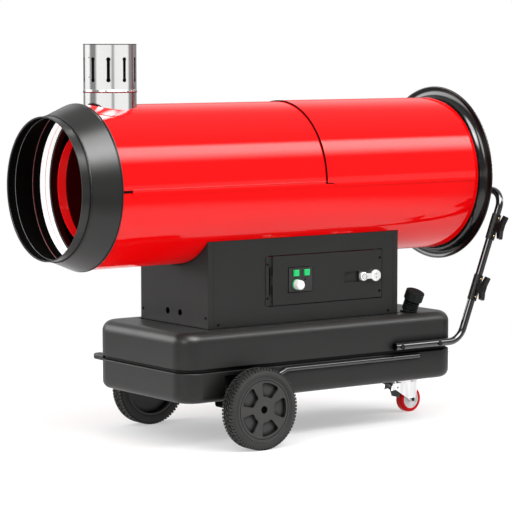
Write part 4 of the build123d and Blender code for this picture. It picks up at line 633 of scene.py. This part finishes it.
BOX_FACE = 172.5
DOOR_FACE = 174.5
DOOR_SHADOW_GAPS = (
    ((655.6, 661.6), (393.0, 536.0), 0.5), ((662.0, 1041.0), (537.2, 538.4), 0.15),
    ((662.0, 1041.0), (390.6, 391.5), 0.1),
)
WINDOW_SHADOW_GAPS = (
    ((719.8, 722.0), (426.6, 501.4), 0.3), ((722.0, 800.0), (500.0, 501.4), 0.3),
    ((722.0, 806.0), (426.6, 428.0), 0.3),
)
DOOR_SCREWS = ((1063.0, 512.0, 4.0, 1.6), (1063.0, 412.0, 4.0, 1.6))
PLATE_DOTS = ((783.5, 463.0, 2.6, 1.2), (783.0, 451.5, 2.6, 1.2))


def face_block(shape, places, heights, face, proud):
    """A flat block on the control side: places and heights in mm, its foot a little inside the face."""
    low = (at(places[0]), -(face + proud) * MM, heights[0] * MM)
    high = (at(places[1]), -(face - 0.3) * MM, heights[1] * MM)
    box_block(shape, low, high)


def face_dot(shape, place, height, face, radius, proud):
    """A low dome on the control side, in mm."""
    matrix = Matrix.Translation((at(place), -face * MM, height * MM)) @ Matrix.Rotation(pi / 2, 4, "X")
    dome(shape, radius, proud, matrix)


def face_lines(name, body, face, shadow_strips, dots):
    """Black strips of (places, heights, proud), painted shadow in gaps, and dots of (place, height, radius,
    proud) on one face.
    """
    shape = bmesh.new()
    for places, heights, proud in shadow_strips:
        face_block(shape, places, heights, face, proud)
    for place, height, radius, proud in dots:
        face_dot(shape, place, height, face, radius, proud)
    piece(name, body, "sheet_black", shape, 30, finish_name="soot_and_shade")


def make_control_lines():
    """Painted shadow in the gap at the hinge and in the gaps round the door and its window, the screws of
    the door, and the dots on the plate.
    """
    face_lines("door_shadow_gaps", "root", BOX_FACE, DOOR_SHADOW_GAPS, ())
    face_lines("window_shadows_and_door_screws", "door", DOOR_FACE, WINDOW_SHADOW_GAPS, DOOR_SCREWS)
    face_lines("plate_dots", "root", BOX_FACE, (), PLATE_DOTS)


KNOB = (752.0, 449.5)
KNOB_GRIP_R = 14.0
KNOB_FRONT = 195.6
KNOB_BACK = 173.2
KNOB_GAP = 5.0
KNOB_SPINDLE_R = 3.0
KNOB_SPINDLE_REACH = 12.0
SKIRT_R = 15.8
SKIRT_RIM, SKIRT_FRONT = 177.2, 178.6
KNOB_FLUTES = 36
FLUTE_STEPS = 4
FLUTE_DEPTH = 0.5


def make_knob():
    """A fluted white knob on a green skirt, with its spindle."""
    matrix = Matrix.Translation((at(KNOB[0]), 0, KNOB[1] * MM)) @ Matrix.Rotation(pi / 2, 4, "X")
    shape = bmesh.new()
    foot, end = KNOB_BACK + KNOB_GAP, KNOB_BACK - KNOB_SPINDLE_REACH
    profile = (
        (KNOB_GRIP_R - 2.5, KNOB_FRONT), (KNOB_GRIP_R - 0.8, KNOB_FRONT - 0.6),
        (KNOB_GRIP_R, KNOB_FRONT - 2.2), (KNOB_GRIP_R + 0.3, foot), (KNOB_SPINDLE_R, foot),
        (KNOB_SPINDLE_R, end), (0.02, end), (0.02, KNOB_FRONT - 0.4),
    )
    fluted(shape, profile, matrix)
    made = piece("knob_grip", "knob", "knob_white", shape, 40)
    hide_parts("thermostat_knob")
    shape = bmesh.new()
    outline = (
        (KNOB_SPINDLE_R, KNOB_BACK), (SKIRT_R, KNOB_BACK), (SKIRT_R, SKIRT_RIM), (KNOB_GRIP_R, SKIRT_FRONT),
        (KNOB_SPINDLE_R, SKIRT_FRONT),
    )
    turned_mm(shape, outline, matrix, ROUND_STEPS)
    piece("knob_skirt", "knob", "knob_white", shape, 40, finish_name="knob_green")


def fluted(shape, profile, matrix):
    """Turns a profile in mm with small flutes where its radius is that of the grip."""
    rings = []
    steps = FLUTE_STEPS * KNOB_FLUTES
    for number in range(steps):
        angle = 2 * pi * number / steps
        cut = FLUTE_DEPTH if number % FLUTE_STEPS >= FLUTE_STEPS / 2 else 0.0
        ring = []
        for radius, along in profile:
            reach = (radius - cut if radius >= KNOB_GRIP_R else radius) * MM
            corner = Vector((reach * cos(angle), reach * sin(angle), along * MM))
            ring.append(shape.verts.new(matrix @ corner))
        rings.append(ring)
    skin(shape, rings, True)


LATCH_Z = 459.5
LATCH_SCREW_PLACE = 1042.0
LATCH_TIP = 997.0
LATCH_FACE = 185.8
LATCH_SCREW_RISE = 5.0
LATCH_SCREW_R = 1.7
TIP_LINE = ((7.8, 8.6), (-0.3, 0.3))
TIP_LINE_STEPS = 48


def make_latch_marks():
    """The two small screws of the latch's hexagonal boss and the line round the boss at its tip."""
    shape = bmesh.new()
    for rise in (-LATCH_SCREW_RISE, LATCH_SCREW_RISE):
        face_dot(shape, LATCH_SCREW_PLACE, LATCH_Z + rise, LATCH_FACE, LATCH_SCREW_R, 0.5)
    matrix = Matrix.Translation((at(LATCH_TIP), -(LATCH_FACE - 0.1) * MM, LATCH_Z * MM))
    matrix = matrix @ Matrix.Rotation(pi / 2, 4, "X")
    (inner, outer), (low, high) = TIP_LINE
    turned_mm(shape, [(inner, low), (outer, low), (outer, high), (inner, high)], matrix, TIP_LINE_STEPS)
    piece("latch_marks", "latch", "latch_chrome", shape, 30, finish_name="edge_dark")


# Tank and running gear

RAIL = ((641.0, 202.0), (667.0, 214.0), (1165.0, 214.0))
RAIL_Y = 237.0
RAIL_OUTER_R = 7.25
RAIL_SIDES = 20
CASTER = (1323.0, 40.0)
CASTER_BOLT_R = 6.2
CASTER_BOLT_RISE = 1.2
CASTER_BOLT_PROUD = 0.4
NECK = (1180.0, -170.0, 340.0)
NECK_LEAN = (22.0, 5.0)
NECK_SKIN_R = 18.2
NECK_GROOVE_R = 21.0
NECK_RIDGE_R = 24.0
NECK_THREAD = 6.0
NECK_TURNS = 4
NECK_PITCH = 8.0
NECK_RIDGE_LENGTH = 7.84


def make_rails():
    """The polished rounding of the rails at the tank's sides."""
    shape = bmesh.new()
    for side in (-1, 1):
        points = [Vector((at(place), side * RAIL_Y * MM, z * MM)) for place, z in RAIL]
        wire(shape, points, RAIL_OUTER_R * MM, RAIL_SIDES)
    piece("rail_skin", "root", "tank_black", shape, 50, finish_name="rail_black")


def make_neck_thread():
    """The moulded thread round the filler neck, below the cap."""
    shape = bmesh.new()
    matrix = Matrix.Translation((at(NECK[0]), NECK[1] * MM, NECK[2] * MM))
    out, back = radians(NECK_LEAN[0]), radians(NECK_LEAN[1])
    lean = Vector((sin(back), -sin(out) * cos(back), cos(out) * cos(back)))
    matrix = matrix @ lean.to_track_quat("Z", "Y").to_matrix().to_4x4()
    outline = [(NECK_SKIN_R, NECK_THREAD)]
    ridge = ((NECK_GROOVE_R, 0.0), (NECK_RIDGE_R, 0.3), (NECK_RIDGE_R, 0.7), (NECK_GROOVE_R, 1.0))
    for turn in range(NECK_TURNS):
        low = NECK_THREAD + NECK_PITCH * turn
        outline += [(radius, low + NECK_RIDGE_LENGTH * share) for radius, share in ridge]
    outline.append((NECK_SKIN_R, outline[-1][1]))
    turned_mm(shape, outline, matrix, ROUND_STEPS)
    piece("neck_thread", "root", "tank_black", shape, 30, finish_name="cap_black")


def make_caster_bolt():
    """The dark bolt head at the caster's axle, on the control side."""
    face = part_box("caster_axle")[0][1] - CASTER_BOLT_PROUD * MM
    shape = bmesh.new()
    matrix = Matrix.Translation((at(CASTER[0]), face, CASTER[1] * MM)) @ Matrix.Rotation(pi / 2, 4, "X")
    dome(shape, CASTER_BOLT_R, CASTER_BOLT_RISE, matrix)
    piece("caster_bolt", "caster", "caster_zinc", shape, 20, finish_name="hook_black")


# Flue

FLUE_PLACE = 220.5
FLUE_R = 75.0
FLUE_WALL = 1.2
FLUE_JOINT_Z = 1022.0
FLUE_TOP_Z = 1150.0
FLUE_STEPS = 128
FLUE_END = 30.0
FLUE_END_SINK = 0.8
SEAM_TURN = -66.5
SEAM_LAPS = ((970.0, 1022.0, 1.7), (1022.0, 1148.0, 1.0))
SEAM_SINK, SEAM_PROUD = 0.6, 0.7
RIVETS = ((-58.5, 1090.0), (-173.5, 1057.0), (-173.5, 1112.0))
SEALANT_DROP, SEALANT_R = 7.2, 1.5
RIVET_R, RIVET_RISE = 2.2, 1.0
SOOT_SHADE_GAP, SOOT_SHADE_FOOT_Z, SOOT_SHADE_TOP_Z = 0.1, 1040.5, 1148.0
ROLL_R = 1.4


def flue_matrix(turn=0.0, z=0.0):
    """A place on the flue's axis, at a height in mm and turned by an angle in degrees."""
    return Matrix.Translation((at(FLUE_PLACE), 0, z * MM)) @ Matrix.Rotation(radians(turn), 4, "Z")


def flue_tube(shape, outer, inner, low, high):
    """A tube about the flue's axis, in mm."""
    outline = [(outer, low), (outer, high), (inner, high), (inner, low)]
    turned_mm(shape, outline, flue_matrix(), FLUE_STEPS)


def flue_bead(shape, z, radius, section):
    """A round bead about the flue's axis, in mm."""
    turned_mm(shape, bead_outline(radius, z, section), flue_matrix(), FLUE_STEPS)


def make_flue():
    """The flue's bore, sooty and painted dark as shade behind the slots, its sunk end band, sealant, rolled
    top edge and rivets.
    """
    shape = bmesh.new()
    bore = FLUE_R - FLUE_WALL
    flue_tube(shape, bore - SOOT_SHADE_GAP, bore - SOOT_SHADE_GAP - LINING, SOOT_SHADE_FOOT_Z, SOOT_SHADE_TOP_Z)
    piece("flue_soot_and_shade", "root", "flue_steel", shape, 30, finish_name="soot_and_shade")
    shape = bmesh.new()
    sunk = FLUE_R - FLUE_END_SINK
    flue_tube(shape, FLUE_R, sunk + 0.02, FLUE_TOP_Z - FLUE_END - 2.4, FLUE_TOP_Z - 0.2)
    piece("flue_band", "root", "flue_steel", shape, 30)
    shape = bmesh.new()
    flue_bead(shape, FLUE_JOINT_Z - SEALANT_DROP, FLUE_R + 0.3, SEALANT_R)
    matrix = flue_matrix(SEAM_TURN)
    for low, high, half in SEAM_LAPS:
        near, far = (FLUE_R - SEAM_SINK, -half, low), (FLUE_R + SEAM_PROUD, half, high)
        box_block(shape, [value * MM for value in near], [value * MM for value in far], matrix)
    piece("flue_sealant", "root", "flue_steel", shape, 30, finish_name="sealant")
    shape = bmesh.new()
    flue_bead(shape, FLUE_TOP_Z - ROLL_R, FLUE_R - 0.9, ROLL_R)
    piece("flue_edge", "root", "flue_steel", shape, 60, finish_name="edge_dark")
    rivets()


def rivets():
    """Small rivet heads, one beside the flue's seam and two further round."""
    shape = bmesh.new()
    outwards = Matrix.Translation(((FLUE_R - 0.2) * MM, 0, 0)) @ Matrix.Rotation(pi / 2, 4, "Y")
    for turn, z in RIVETS:
        dome(shape, RIVET_R, RIVET_RISE, flue_matrix(turn, z) @ outwards)
    piece("flue_rivets", "root", "flue_steel", shape, 60, finish_name="rivet_grey")


# Inlet guard

GUARD_RINGS = 9
GUARD_SPOKES = 6
GUARD_WIRE = 1.6
GUARD_INNER_R = 34.0
GUARD_STEPS = 96


def make_guard():
    """Rings of round wire on round spokes, across the inlet."""
    low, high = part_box("inlet_guard")
    x = (low[0] + high[0]) / 2
    reach = (high[1] - low[1]) / 2 / MM - GUARD_WIRE
    shape = bmesh.new()
    for number in range(GUARD_RINGS):
        radius = (GUARD_INNER_R + (reach - GUARD_INNER_R) * number / (GUARD_RINGS - 1)) * MM
        turns = [2 * pi * step / GUARD_STEPS for step in range(GUARD_STEPS)]
        points = [Vector((x - 0.6 * MM, radius * cos(turn), AXIS_Z + radius * sin(turn))) for turn in turns]
        wire(shape, points, GUARD_WIRE * MM, BEAD_SIDES, closed=True)
    for number in range(GUARD_SPOKES):
        turn = 2 * pi * number / GUARD_SPOKES
        ends = [
            Vector((x + 0.9 * MM, radius * MM * cos(turn), AXIS_Z + radius * MM * sin(turn)))
            for radius in (GUARD_INNER_R - 4, reach)
        ]
        wire(shape, ends, GUARD_WIRE * MM, BEAD_SIDES)
    made = piece("guard_wires", "root", "frame_black", shape, 60)
    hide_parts("inlet_guard")


# Stage

FLOOR_R = 2.5
FLOOR_SOLID_R, FLOOR_FADED_R = 1.1, 2.4
STUDIO_DIM = 0.36
BELOW_DIM = 0.3
HORIZON_EDGE = (-0.05, 0.05)
CEILING_EDGE = (0.55, 0.95)
WALL_AHEAD, WALL_FOOT, WALL_TOP = (0.2, 0.75), (0.14, 0.32), (0.45, 0.75)
STRIP_END = (-0.35, -0.1)
SOFTBOX_LIMIT = 0.998
STRIP_BRIGHT = 7.2
STRIP_FOOT, STRIP_FULL, STRIP_EDGE, STRIP_TOP = radians(33), radians(50), radians(55), radians(62)
SOFTBOXES = (
    ((-0.852, -0.31, 0.423), 0.955, 7.0), ((-0.1, -0.52, 0.848), 0.88, 11.0),
    ((-0.552, 0.76, 0.342), 0.9, 5.0),
)
SOFTBOX_EDGE = 0.09
WALL_BRIGHT = 1.0
BACKDROP_BRIGHT = 1.0
SUN_POWER, SUN_SPREAD, SUN_PLACE = 2.45, radians(70), (-7.0, -1.6, 6.8)
PANEL_POWER, PANEL_SIZE, PANEL_PLACE, PANEL_TARGET = 6, 0.7, (-2.4, -1.3, 0.95), (-0.6, 0.1, 0.75)
CEILING_BRIGHT = 0.55
CARD_LEVEL, CARD_REACH = -0.014, 0.085
CARD_BRIGHT, CARD_GAP = 1.0, 0.25
CARDS = ((radians(120), radians(12)), (radians(-150), radians(28)), (radians(-70), radians(28)))
CARD_EDGE = radians(14)


def make_floor():
    """A white round floor that fades out into the backdrop."""
    shape = bmesh.new()
    bmesh.ops.create_circle(shape, cap_ends=True, segments=128, radius=FLOOR_R)
    floor = bpy.data.objects.new("floor", from_bmesh("floor", shape))
    bpy.context.scene.collection.objects.link(floor)
    white = finish("floor_white", (0.62, 0.62, 0.62), 0.7, glow=0.62, mottle=0.01, mottle_scale=0.7,
                   swing_scale=1.0, grain=120, depth=0.05, strength=0.1, specular=0.0)
    fade_out(white)
    floor.data.materials.append(white)


def fade_out(material):
    """Lets the floor fade into the backdrop away from the heater."""
    tree = material.node_tree
    place = tree.nodes.new("ShaderNodeTexCoord")
    length = tree.nodes.new("ShaderNodeVectorMath")
    length.operation = "LENGTH"
    link(tree, place, "Object", length, "Vector")
    kept = step_down(tree, length.outputs["Value"], FLOOR_SOLID_R, FLOOR_FADED_R)
    tree.links.new(kept, tree.nodes["Principled BSDF"].inputs["Alpha"])


def place_light(name, data, place, target):
    """Aims a light at a target; it lights surfaces and shows in no reflection."""
    light = bpy.data.objects.new(name, data)
    bpy.context.scene.collection.objects.link(light)
    light.location = place
    light.rotation_euler = (Vector(target) - Vector(place)).to_track_quat("-Z", "Y").to_euler()
    light.visible_glossy = False


def card_light(tree, x, y, z):
    """The light of three upright white cards with dark gaps between them, and the band they stand in.
    CARDS gives each card's direction and half its width."""
    lit = CARD_GAP
    for middle, half in CARDS:
        facing = calc(tree, "ADD", both(tree, x, cos(middle)), both(tree, y, sin(middle)))
        card = step_up(tree, facing, cos(half + CARD_EDGE), cos(half))
        lit = mixed(tree, lit, CARD_BRIGHT, card)
    off = calc(tree, "ABSOLUTE", calc(tree, "SUBTRACT", z, CARD_LEVEL))
    return lit, step_down(tree, off, CARD_REACH / 2, CARD_REACH)


def strip_light(tree, x, y, z):
    """A long strip light overhead, on the control side."""
    rise = calc(tree, "ARCTAN2", z, both(tree, y, -1.0))
    strip = both(tree, step_up(tree, rise, STRIP_FOOT, STRIP_FULL),
                 step_down(tree, rise, STRIP_EDGE, STRIP_TOP))
    strip = both(tree, strip, step_up(tree, x, *STRIP_END))
    return both(tree, strip, STRIP_BRIGHT)


def softbox(tree, x, y, z, towards, edge, bright):
    """A round softbox in one direction; edge is the cosine at which it starts."""
    facing = both(tree, x, towards[0])
    for value, part in ((y, towards[1]), (z, towards[2])):
        facing = calc(tree, "ADD", facing, both(tree, value, part))
    full = min(SOFTBOX_LIMIT, edge + SOFTBOX_EDGE)
    return both(tree, step_up(tree, facing, edge, full), bright)


def make_world():
    """A dim studio with a long overhead strip light, a bright rear wall and three upright cards.
    The softboxes show in reflections only. The camera sees a plain white backdrop past the floor."""
    world = bpy.data.worlds.new("studio")
    bpy.context.scene.world = world
    world.use_nodes = True
    tree = world.node_tree
    place = tree.nodes.new("ShaderNodeTexCoord")
    split = tree.nodes.new("ShaderNodeSeparateXYZ")
    link(tree, place, "Generated", split, "Vector")
    x, y, z = split.outputs["X"], split.outputs["Y"], split.outputs["Z"]
    lit = mixed(tree, BELOW_DIM, STUDIO_DIM, step_up(tree, z, *HORIZON_EDGE))
    lit = mixed(tree, lit, CEILING_BRIGHT, step_up(tree, z, *CEILING_EDGE))
    ahead = calc(tree, "ADD", both(tree, x, sin(CAMERA_TURN)), both(tree, y, cos(CAMERA_TURN)))
    wall = both(tree, step_up(tree, ahead, *WALL_AHEAD), step_up(tree, z, *WALL_FOOT))
    wall = both(tree, wall, step_down(tree, z, *WALL_TOP))
    lit = mixed(tree, lit, WALL_BRIGHT, wall)
    lit = calc(tree, "ADD", lit, strip_light(tree, x, y, z))
    path = tree.nodes.new("ShaderNodeLightPath")
    for towards, edge, bright in SOFTBOXES:
        box = softbox(tree, x, y, z, towards, edge, bright)
        lit = calc(tree, "ADD", lit, both(tree, box, path.outputs["Is Glossy Ray"]))
    cards, share = card_light(tree, x, y, z)
    lit = mixed(tree, lit, cards, share)
    lit = mixed(tree, lit, BACKDROP_BRIGHT, path.outputs["Is Camera Ray"])
    background = tree.nodes["Background"]
    background.inputs["Color"].default_value = (1, 1, 1, 1)
    tree.links.new(lit, background.inputs["Strength"])


def make_lights():
    """A wide sun for the fill and a small panel in front of the outlet."""
    sun = bpy.data.lights.new("fill", "SUN")
    sun.energy = SUN_POWER
    sun.angle = SUN_SPREAD
    place_light("fill", sun, SUN_PLACE, (0, 0, 0))
    panel = bpy.data.lights.new("outlet", "AREA")
    panel.shape = "RECTANGLE"
    panel.size = panel.size_y = PANEL_SIZE
    panel.energy = PANEL_POWER
    place_light("outlet", panel, PANEL_PLACE, PANEL_TARGET)


# Build

make_camera()
materials = make_materials()
dress_nodes()
make_tyre("tyre_left", -1)
make_tyre("tyre_right", 1)
make_adapter_lining()
make_drum_shadow_strips()
make_flue()
make_guard()
make_hem_line()
make_control_lines()
make_knob()
make_latch_marks()
make_liner_groove()
make_rails()
make_neck_thread()
make_caster_bolt()
make_floor()
make_world()
make_lights()
bpy.context.scene.view_settings.view_transform = "Standard"
